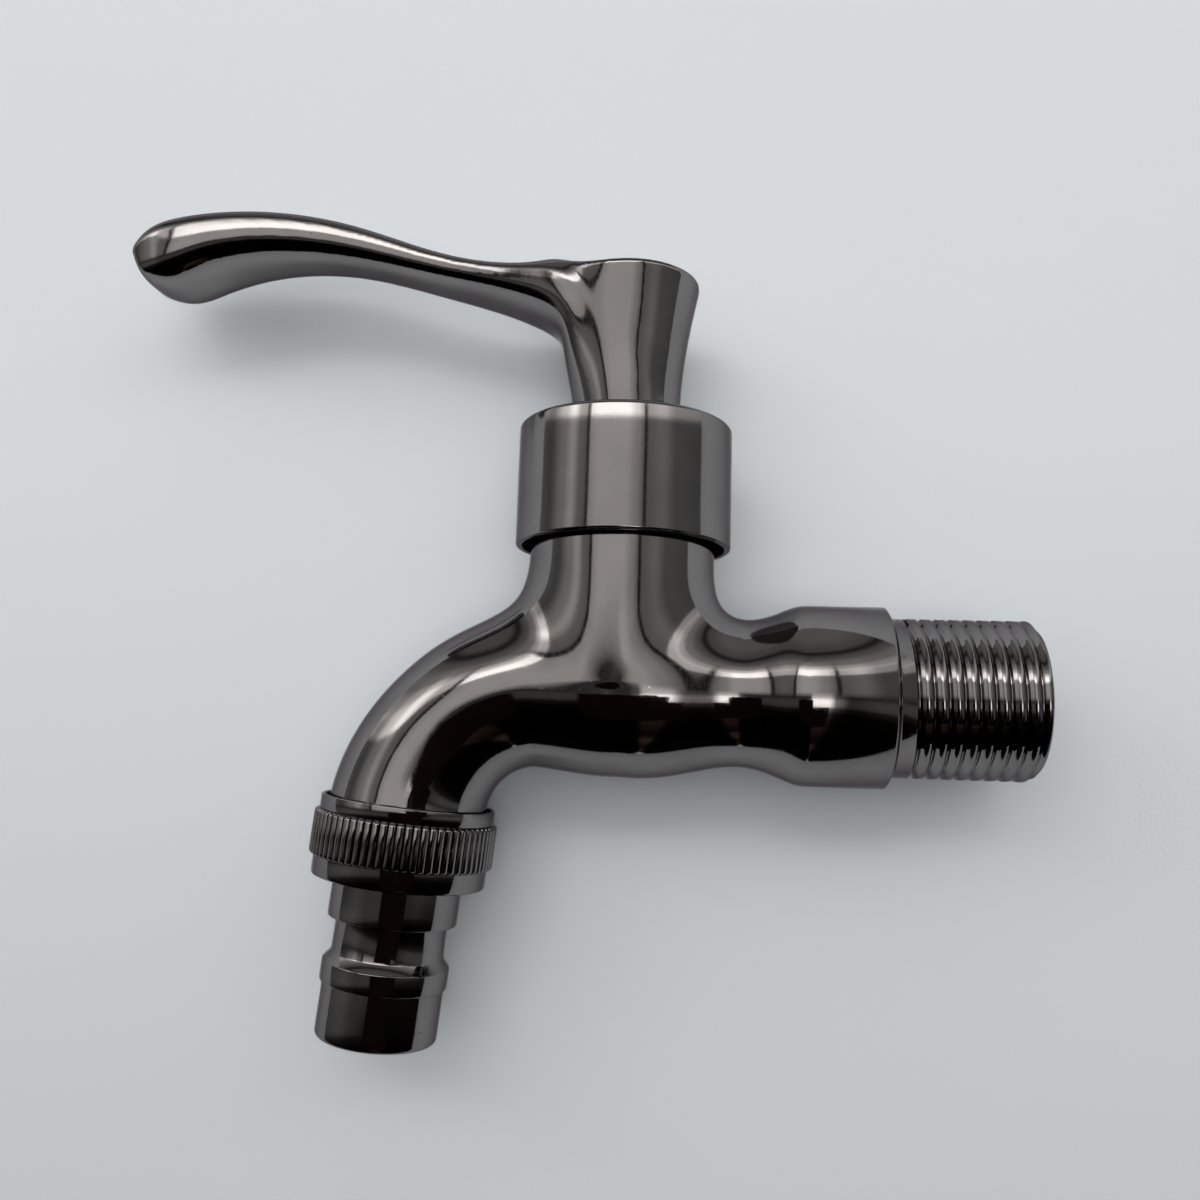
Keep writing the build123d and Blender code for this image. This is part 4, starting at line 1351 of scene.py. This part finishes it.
@dataclass
class HoseNut(TurnedPiece):
    """The nut on the spout: a plain rim, a ribbed band and a plain band, turned about the outlet.

    The rim, the knurl and the band each hold a radius, a start and an end; the mouth a radius
    and a depth; and the lip, which holds the nozzle, a radius and a start.
    """

    name: ClassVar[str] = "knurled_nut"
    node: ClassVar[str] = "hose_nut"
    body: ClassVar[Body] = Body.NUT
    sharp_above: ClassVar[float] = 38.0
    rim: Point = (11.6, 0.0, 1.9)
    knurl: Point = (12.15, 1.9, 7.8)
    band: Point = (11.5, 7.8, 10.4)
    mouth: Pair = (11.1, 2.4)
    bore: float = 10.36
    lip: Pair = (8.75, 9.1)
    ribs: int = 72
    rib_height: float = 0.5
    rib_segments: int = 8
    shoulder: float = 0.45
    edge: float = 0.15
    hair: float = 0.02

    def profile(self) -> list[Pair]:
        """Draw the nut's section.

        Returns:
            Its points, inside first.
        """
        edge, hair = self.edge, self.hair
        rim, rim_from, rim_to = self.rim
        rib, rib_from, rib_to = self.knurl
        band, _, band_to = self.band
        mouth, mouth_to = self.mouth
        lip, lip_from = self.lip
        foot = rib - self.rib_height - 2 * hair
        rise = [
            (foot + (rib - foot) * math.sin(a), rib_from + 1.5 * hair + self.shoulder * (1 - math.cos(a)))
            for a in (k * math.pi / 8 for k in range(1, 5))
        ]
        fall = [(radius, rib_from + rib_to - height) for radius, height in reversed(rise)]
        return [
            (mouth, mouth_to), (mouth, rim_from + edge), (mouth + edge, rim_from),
            *arc((rim - edge, rim_from + edge), edge, -90.0, 0.0, 3), (rim, rim_to - hair),
            (foot - hair, rim_to), (foot, rib_from + hair), *rise, (rib, (rib_from + rib_to) / 2), *fall,
            (foot, rib_to), (band, rib_to + hair), (band, band_to - 0.4), (band - 0.1, band_to - 0.15),
            (band - 0.4, band_to), (lip, band_to), (lip, lip_from), (self.bore, lip_from),
            (self.bore, mouth_to), (mouth, mouth_to),
        ]

    def settings(self) -> dict[str, Any]:
        """Return the turning nodes' other inputs, with those of the ribs."""
        rib, rib_from, rib_to = self.knurl
        return {
            "Segments": self.ribs * self.rib_segments, "Ribs": self.ribs, "Rib height": self.rib_height * MM,
            "Rib start": (rib_from + 1.5 * self.hair) * MM, "Rib end": (rib_to - self.hair / 2) * MM,
            "Rib foot radius": (rib - self.rib_height) * MM,
        }


@dataclass
class BonnetRing(TurnedPiece):
    """The thin ring round the neck: one turned section with a rounded top and rim.

    Its foot is open. The sleeve stands inside round the bore, under the top plate.
    """

    name: ClassVar[str] = "bonnet_ring_turned"
    node: ClassVar[str] = "bonnet_ring"
    body: ClassVar[Body] = Body.TAP
    look: ClassVar[Look] = Look.BONNET
    axis: ClassVar[Axis] = SPINDLE
    segments: ClassVar[int] = 192
    outer: float = 14.64
    wall: float = 0.9
    foot: float = 19.2
    top: float = 35.8
    plate: float = 1.2
    bore: float = 6.6
    sleeve: float = 8.2
    sleeve_length: float = 2.8
    top_round: float = 0.6
    foot_round: float = 0.35
    inner_round: float = 0.12

    def profile(self) -> list[Pair]:
        """Draw the ring's section.

        Returns:
            Its points, from the sleeve's foot.
        """
        inner, under = self.outer - self.wall, self.top - self.plate
        sleeve_foot = self.top - self.sleeve_length
        side_from, side_to = self.foot + self.foot_round, self.top - self.top_round
        return [
            (self.bore, sleeve_foot), (self.sleeve, sleeve_foot), (self.sleeve, under), (inner, under),
            (inner, self.foot + 0.15),
            *arc((inner + self.inner_round, self.foot + self.inner_round), self.inner_round, 180.0, 270.0, 3),
            *arc((self.outer - self.foot_round, side_from), self.foot_round, 270.0, 360.0, 5),
            *((self.outer, side_from + (side_to - side_from) * k / 6) for k in range(1, 6)),
            *arc((self.outer - self.top_round, side_to), self.top_round, 0.0, 90.0, 6),
            (self.bore + 0.15, self.top), (self.bore, self.top - 0.15), (self.bore, sleeve_foot),
        ]


@dataclass
class HoseNozzle(TurnedPiece):
    """The stepped nozzle under the nut: flange, shank, waist, flared barb and tail.

    The flange, which the nut holds, and the barb each hold a radius, a start and an end. The
    shank, the waist and the tail hold a radius and an end.
    """

    name: ClassVar[str] = "stepped_nozzle"
    node: ClassVar[str] = "hose_nozzle"
    body: ClassVar[Body] = Body.NOZZLE
    bore: float = 5.9
    flange: Point = (10.1, 7.9, 9.07)
    shank: Pair = (8.5, 15.5)
    waist: Pair = (7.35, 19.9)
    barb: Point = (8.35, 21.0, 23.65)
    tail: Pair = (7.95, 30.6)
    end_round: float = 0.6
    mouth_round: float = 0.25
    edge: float = 0.22

    def profile(self) -> list[Pair]:
        """Draw the nozzle's section.

        Returns:
            Its points, down its outside.
        """
        edge, end, mouth = self.edge, self.end_round, self.mouth_round
        flange, top, under = self.flange
        (shank, shank_to), (waist, waist_to), (tail, tail_to) = self.shank, self.waist, self.tail
        barb, barb_from, barb_to = self.barb
        return [
            (self.bore, top), (flange - 0.1, top), (flange, top + 0.1), (flange, under - 0.1),
            (flange - 0.1, under), (shank + 0.15, under), (shank, under + 0.15),
            *((shank, under + (shank_to - edge - under) * k / 4) for k in (1, 2, 3)),
            *arc((shank - edge, shank_to - edge), edge, 0.0, 90.0, 4), (waist + 0.2, shank_to),
            *arc((waist + 0.2, shank_to + 0.2), 0.2, 270.0, 180.0, 3), (waist, (shank_to + waist_to) / 2),
            (waist, waist_to - 0.25), (waist + 0.08, waist_to + 0.05), (barb - 0.12, barb_from - 0.12),
            *arc((barb - 0.2, barb_from + 0.1), 0.2, -30.0, 0.0, 3), (barb, (barb_from + barb_to) / 2),
            *arc((barb - edge, barb_to - edge), edge, 0.0, 90.0, 4), (tail, barb_to + 0.02),
            *((tail, barb_to + (tail_to - end - barb_to) * k / 4) for k in (1, 2, 3)),
            *arc((tail - end, tail_to - end), end, 0.0, 90.0, 6), (self.bore + 0.3, tail_to),
            *arc((self.bore + mouth, tail_to - mouth), mouth, 90.0, 180.0, 3), (self.bore, top),
        ]


@dataclass(frozen=True)
class Glow:
    """How bright the tent is along one angle, by stops that run into each other.

    Args:
        stops: degrees and brightness of each stop, from low to high.
    """

    stops: tuple[Pair, ...]

    def socket(self, graph: Graph, angle: Socket) -> Socket:
        """Return the brightness at an angle in radians.

        Args:
            graph: the tree to build in.
            angle: the angle's socket.

        Returns:
            The brightness.
        """
        peak = max(level for _, level in self.stops)
        low, high = self.stops[0][0], self.stops[-1][0]
        share = graph.span(angle, math.radians(low), math.radians(high))
        ramp = graph.add("ShaderNodeValToRGB", {"Fac": share})
        ramp.color_ramp.interpolation = "EASE"
        elements = ramp.color_ramp.elements
        while len(elements) > 1:
            elements.remove(elements[-1])
        for number, (degrees, level) in enumerate(self.stops):
            place = (degrees - low) / (high - low)
            stop = elements[0] if number == 0 else elements.new(place)
            stop.position = place
            stop.color = (*(level / peak,) * 3, 1.0)
        return graph.product(ramp.outputs[0], peak)


@dataclass(frozen=True)
class Sheet:
    """An upright sheet of the studio, placed along Y, with its edges along X and up."""

    name: str
    place: float
    left: float
    right: float
    foot: float
    top: float

    def corners(self) -> list[Point]:
        """Return its four corners, in order."""
        sides = (self.left, self.right, self.right, self.left)
        levels = (self.foot, self.foot, self.top, self.top)
        return [(x, self.place, z) for x, z in zip(sides, levels)]


@dataclass
class Studio:
    """The pale table behind the tap, the soft light tent before it, the lamp and the camera.

    Lengths are in metres and the tent's angles in degrees. An angle of height is measured from
    the level of the spindle's middle, and an angle of side from straight before the tap. A fade
    holds the two heights between which one light gives way to another: on the table from painted
    shade to full colour, which paints the table darker towards the bottom as if lit from above, at
    the horizon from the tent's lower half to its upper, low down from the ground's light to the
    tent's own, and in the upper half from sides that differ to sides that are evened out by
    evening. The tent reaches so far in height and in side, in so many parts.
    The cloud is the scale and the share of the table's faint pattern.
    """

    table: Sheet = Sheet("pale_table", 14.9 * MM, -0.75, 0.75, -0.75, 0.75)
    table_colour: Colour = (0.765, 0.806, 0.842)
    # painted shade: the next two sizes paint the table darker towards the bottom: the heights over which it
    # darkens and the share of its colour left at the bottom
    table_shade_fade: Pair = (-0.10, 0.04)
    table_painted_shade: float = 0.80
    table_cloud: Pair = (9.0, 0.15)
    room_colour: Colour = (0.66, 0.69, 0.72)
    tent_radius: float = 1.3
    tent_reach: Pair = (88.0, 105.0)
    tent_parts: tuple[int, int] = (36, 48)
    tent_colour: Colour = (1.0, 0.975, 0.945)
    low_colour: Colour = (1.0, 0.62, 0.50)
    low_fade: Pair = (-30.0, -18.0)
    horizon_fade: Pair = (-4.0, 2.0)
    side_fade: Pair = (26.0, 40.0)
    evening: float = 0.7
    upper_height: Glow = Glow((
        (-4.0, 1.15), (4.0, 1.05), (11.0, 1.1), (17.0, 1.05), (20.5, 1.15), (23.0, 4.8), (27.5, 4.8),
        (31.0, 2.4), (35.0, 0.9), (43.0, 0.35), (49.0, 0.06), (54.0, 0.3), (70.0, 0.45), (90.0, 0.45),
    ))
    upper_side: Glow = Glow((
        (-110.0, 0.05), (-100.0, 0.28), (-80.0, 0.16), (-62.0, 0.5), (-52.0, 0.85), (-43.0, 0.35),
        (-37.0, 0.3), (-35.5, 0.04), (-33.5, 0.04), (-32.0, 0.8), (-23.0, 1.0), (6.0, 1.0), (17.0, 0.65),
        (23.0, 0.4), (24.5, 0.03), (26.5, 0.03), (28.0, 0.3), (44.0, 0.4), (60.0, 0.2), (100.0, 0.15),
    ))
    lower_height: Glow = Glow((
        (-90.0, 0.1), (-78.0, 0.02), (-68.0, 0.08), (-60.0, 0.01), (-42.0, 0.04), (-32.0, 0.06),
        (-24.0, 0.12), (-18.0, 0.6), (-14.0, 3.8), (-11.0, 4.4), (-8.0, 4.2), (-4.0, 1.8), (2.0, 1.2),
    ))
    lower_side: Glow = Glow((
        (-110.0, 0.03), (-60.0, 0.05), (-35.0, 0.03), (-8.0, 0.03), (0.0, 0.12), (5.0, 0.9), (9.0, 1.0),
        (18.0, 1.0), (24.0, 0.12), (34.0, 0.02), (60.0, 0.04), (100.0, 0.04),
    ))
    card_colour: Colour = (0.020, 0.009, 0.007)
    cards: tuple[Sheet, ...] = (
        Sheet("low_dark_card", -0.155, -0.092, 0.001, -0.130, -0.020),
        Sheet("right_dark_card", -0.155, 0.001, 0.035, -0.130, -0.046),
        Sheet("near_dark_card", -0.070, -0.050, -0.011, -0.030, -0.0105),
    )
    lamp_place: Point = (-0.10, -0.85, 0.32)
    lamp_size: Pair = (2.2, 2.0)
    lamp_power: float = 8.8
    lamp_colour: Colour = (0.97, 0.985, 1.0)
    camera_place: Point = (-26.357 * MM, -139.955 * MM, -6.984 * MM)
    camera_right: Point = (0.9946, 0.0991, 0.0310)
    camera_forward: Point = (-0.1024, 0.9855, 0.1355)
    lens: float = 31.312
    film: float = 36.0
    nearest_seen: float = 0.005

    def build(self) -> None:
        """Make the whole studio."""
        self.make_world()
        self.make_table()
        self.make_tent()
        self.make_lamp()
        self.make_cards()
        self.make_camera()
        LOG.info("studio: table, tent, lamp, %d cards and camera", len(self.cards))

    def put_up(
        self, name: str, points: Sequence[Point], faces: Sequence[tuple[int, ...]],
        material: bpy.types.Material,
    ) -> bpy.types.Object:
        """Put up one thing of the studio.

        Args:
            name: its name.
            points: its corners.
            faces: corner numbers of its faces.
            material: its surface.

        Returns:
            The object.
        """
        mesh = bpy.data.meshes.new(name)
        mesh.from_pydata(points, [], faces)
        mesh.materials.append(material)
        thing = linked(name, mesh)
        return thing

    def make_world(self) -> None:
        """Fill the room behind the table with a plain pale light."""
        world = bpy.data.worlds.new("pale_room")
        bpy.context.scene.world = world
        world.use_nodes = True
        graph = Graph(world.node_tree)
        glow = graph.add("ShaderNodeBackground", {"Color": full_colour(self.room_colour), "Strength": 1.0})
        graph.add("ShaderNodeOutputWorld", {"Surface": glow.outputs[0]})

    def make_table(self) -> None:
        """Lay the pale sheet that the tap rests against, open to a look from behind."""
        material, graph = new_surface("pale_table_surface")
        place = graph.place()
        scale, share = self.table_cloud
        cloud = graph.product(graph.noise(place, scale, 1.0), share)
        # painted shade: the table's colour runs from a darker copy low down to full colour higher up, as if
        # the light fell from above
        rise = graph.span(graph.split(place)["Z"], *self.table_shade_fade, 0.0, 1.0 - share)
        dark = tuple(part * self.table_painted_shade for part in self.table_colour)
        painted_shade_mix = graph.blend(graph.maths("ADD", rise, cloud), dark, self.table_colour)
        sheet = graph.add("ShaderNodeBsdfDiffuse", {"Color": painted_shade_mix})
        clear = graph.add("ShaderNodeBsdfTransparent")
        behind = graph.add("ShaderNodeNewGeometry").outputs["Backfacing"]
        graph.show(graph.add("ShaderNodeMixShader", {0: behind, 1: sheet.outputs[0], 2: clear.outputs[0]}))
        self.put_up(self.table.name, self.table.corners(), [(0, 1, 2, 3)], material)

    def make_tent(self) -> None:
        """Hang the tent: part of a ball round the tap that glows by height and side."""
        radius, (rows, columns) = self.tent_radius, self.tent_parts
        heights, sides = (
            [math.radians(reach * (2 * k / parts - 1)) for k in range(parts + 1)]
            for reach, parts in zip(self.tent_reach, self.tent_parts)
        )
        points = [
            (radius * math.sin(a) * math.cos(b), -radius * math.cos(a) * math.cos(b), radius * math.sin(b))
            for b in heights for a in sides
        ]
        starts = [row * (columns + 1) + column for row in range(rows) for column in range(columns)]
        faces = [(start, start + columns + 1, start + columns + 2, start + 1) for start in starts]
        tent = self.put_up("soft_tent", points, faces, self.tent_surface())
        tent.location = SPINDLE.origin
        tent.visible_camera = False

    def tent_surface(self) -> bpy.types.Material:
        """Make the tent's light.

        Returns:
            The material.
        """
        material, graph = new_surface("soft_tent_glow")
        place = graph.split(graph.place())
        height = graph.maths("ARCSINE", graph.maths("DIVIDE", place["Z"], self.tent_radius))
        side = graph.maths("ARCTAN2", place["X"], graph.product(place["Y"], -1.0))
        even, rise, warmth = (
            graph.span(height, *(math.radians(angle) for angle in fade))
            for fade in (self.side_fade, self.horizon_fade, self.low_fade)
        )
        evened = {0: even, 2: self.upper_side.socket(graph, side), 3: self.evening}
        across = graph.add("ShaderNodeMix", evened).outputs[0]
        upper = graph.product(self.upper_height.socket(graph, height), across)
        lower = graph.product(self.lower_height.socket(graph, height), self.lower_side.socket(graph, side))
        level = graph.add("ShaderNodeMix", {0: rise, 2: lower, 3: upper}).outputs[0]
        tone = graph.blend(warmth, self.low_colour, self.tent_colour)
        graph.show(graph.add("ShaderNodeEmission", {"Color": tone, "Strength": level}))
        return material

    def make_lamp(self) -> None:
        """Hang the broad lamp over the table, kept out of the metal's reflections."""
        lamp = bpy.data.lights.new("broad_table_lamp", "AREA")
        lamp.shape = "RECTANGLE"
        lamp.size, lamp.size_y = self.lamp_size
        lamp.energy = self.lamp_power
        lamp.color = self.lamp_colour
        holder = linked("broad_table_lamp", lamp)
        holder.location = self.lamp_place
        aim = Vector(SPINDLE.origin) - holder.location
        holder.rotation_euler = aim.to_track_quat("-Z", "Y").to_euler()
        holder.visible_camera = False
        holder.visible_glossy = False

    def make_cards(self) -> None:
        """Stand the dark cards near the camera, where only the polished metal shows them."""
        material, graph = new_surface("dark_card")
        graph.show(graph.add("ShaderNodeBsdfDiffuse", {"Color": full_colour(self.card_colour)}))
        for card in self.cards:
            thing = self.put_up(card.name, card.corners(), [(0, 1, 2, 3)], material)
            thing.visible_camera = False
            thing.visible_shadow = False
            thing.visible_diffuse = False

    def make_camera(self) -> None:
        """Stand the camera where the photograph was taken from."""
        forward = Vector(self.camera_forward).normalized()
        up = Vector(self.camera_right).cross(forward).normalized()
        right = forward.cross(up).normalized()
        data = bpy.data.cameras.new("photo_camera")
        data.lens, data.sensor_width, data.clip_start = self.lens, self.film, self.nearest_seen
        holder = linked("photo_camera", data)
        turn = Matrix((right, up, -forward)).transposed().to_4x4()
        holder.matrix_world = Matrix.Translation(Vector(self.camera_place)) @ turn
        bpy.context.scene.camera = holder


def main() -> None:
    """Build the tap and its studio."""
    logging.basicConfig(level=logging.INFO, format="%(message)s")
    bpy.context.scene.view_settings.view_transform = "Standard"
    finishes = Finishes()
    replaced = {"tap_body", "lever_handle", "bonnet_ring", "hose_nut", "hose_nozzle"}
    for row in frame["record"]["subparts"]:
        if row["node"] not in replaced:
            dress_node(row["node"], finishes.get(SLOT_LOOKS[Slot(row["material_slot"])]))
    turning = TurningNodes()
    TapBody(finishes, turning, ThreadNodes()).build()
    BonnetRing(finishes, turning).build()
    LeverHandle(finishes).build()
    HoseNut(finishes, turning).build()
    HoseNozzle(finishes, turning).build()
    Studio().build()


if __name__ == "__main__":
    main()
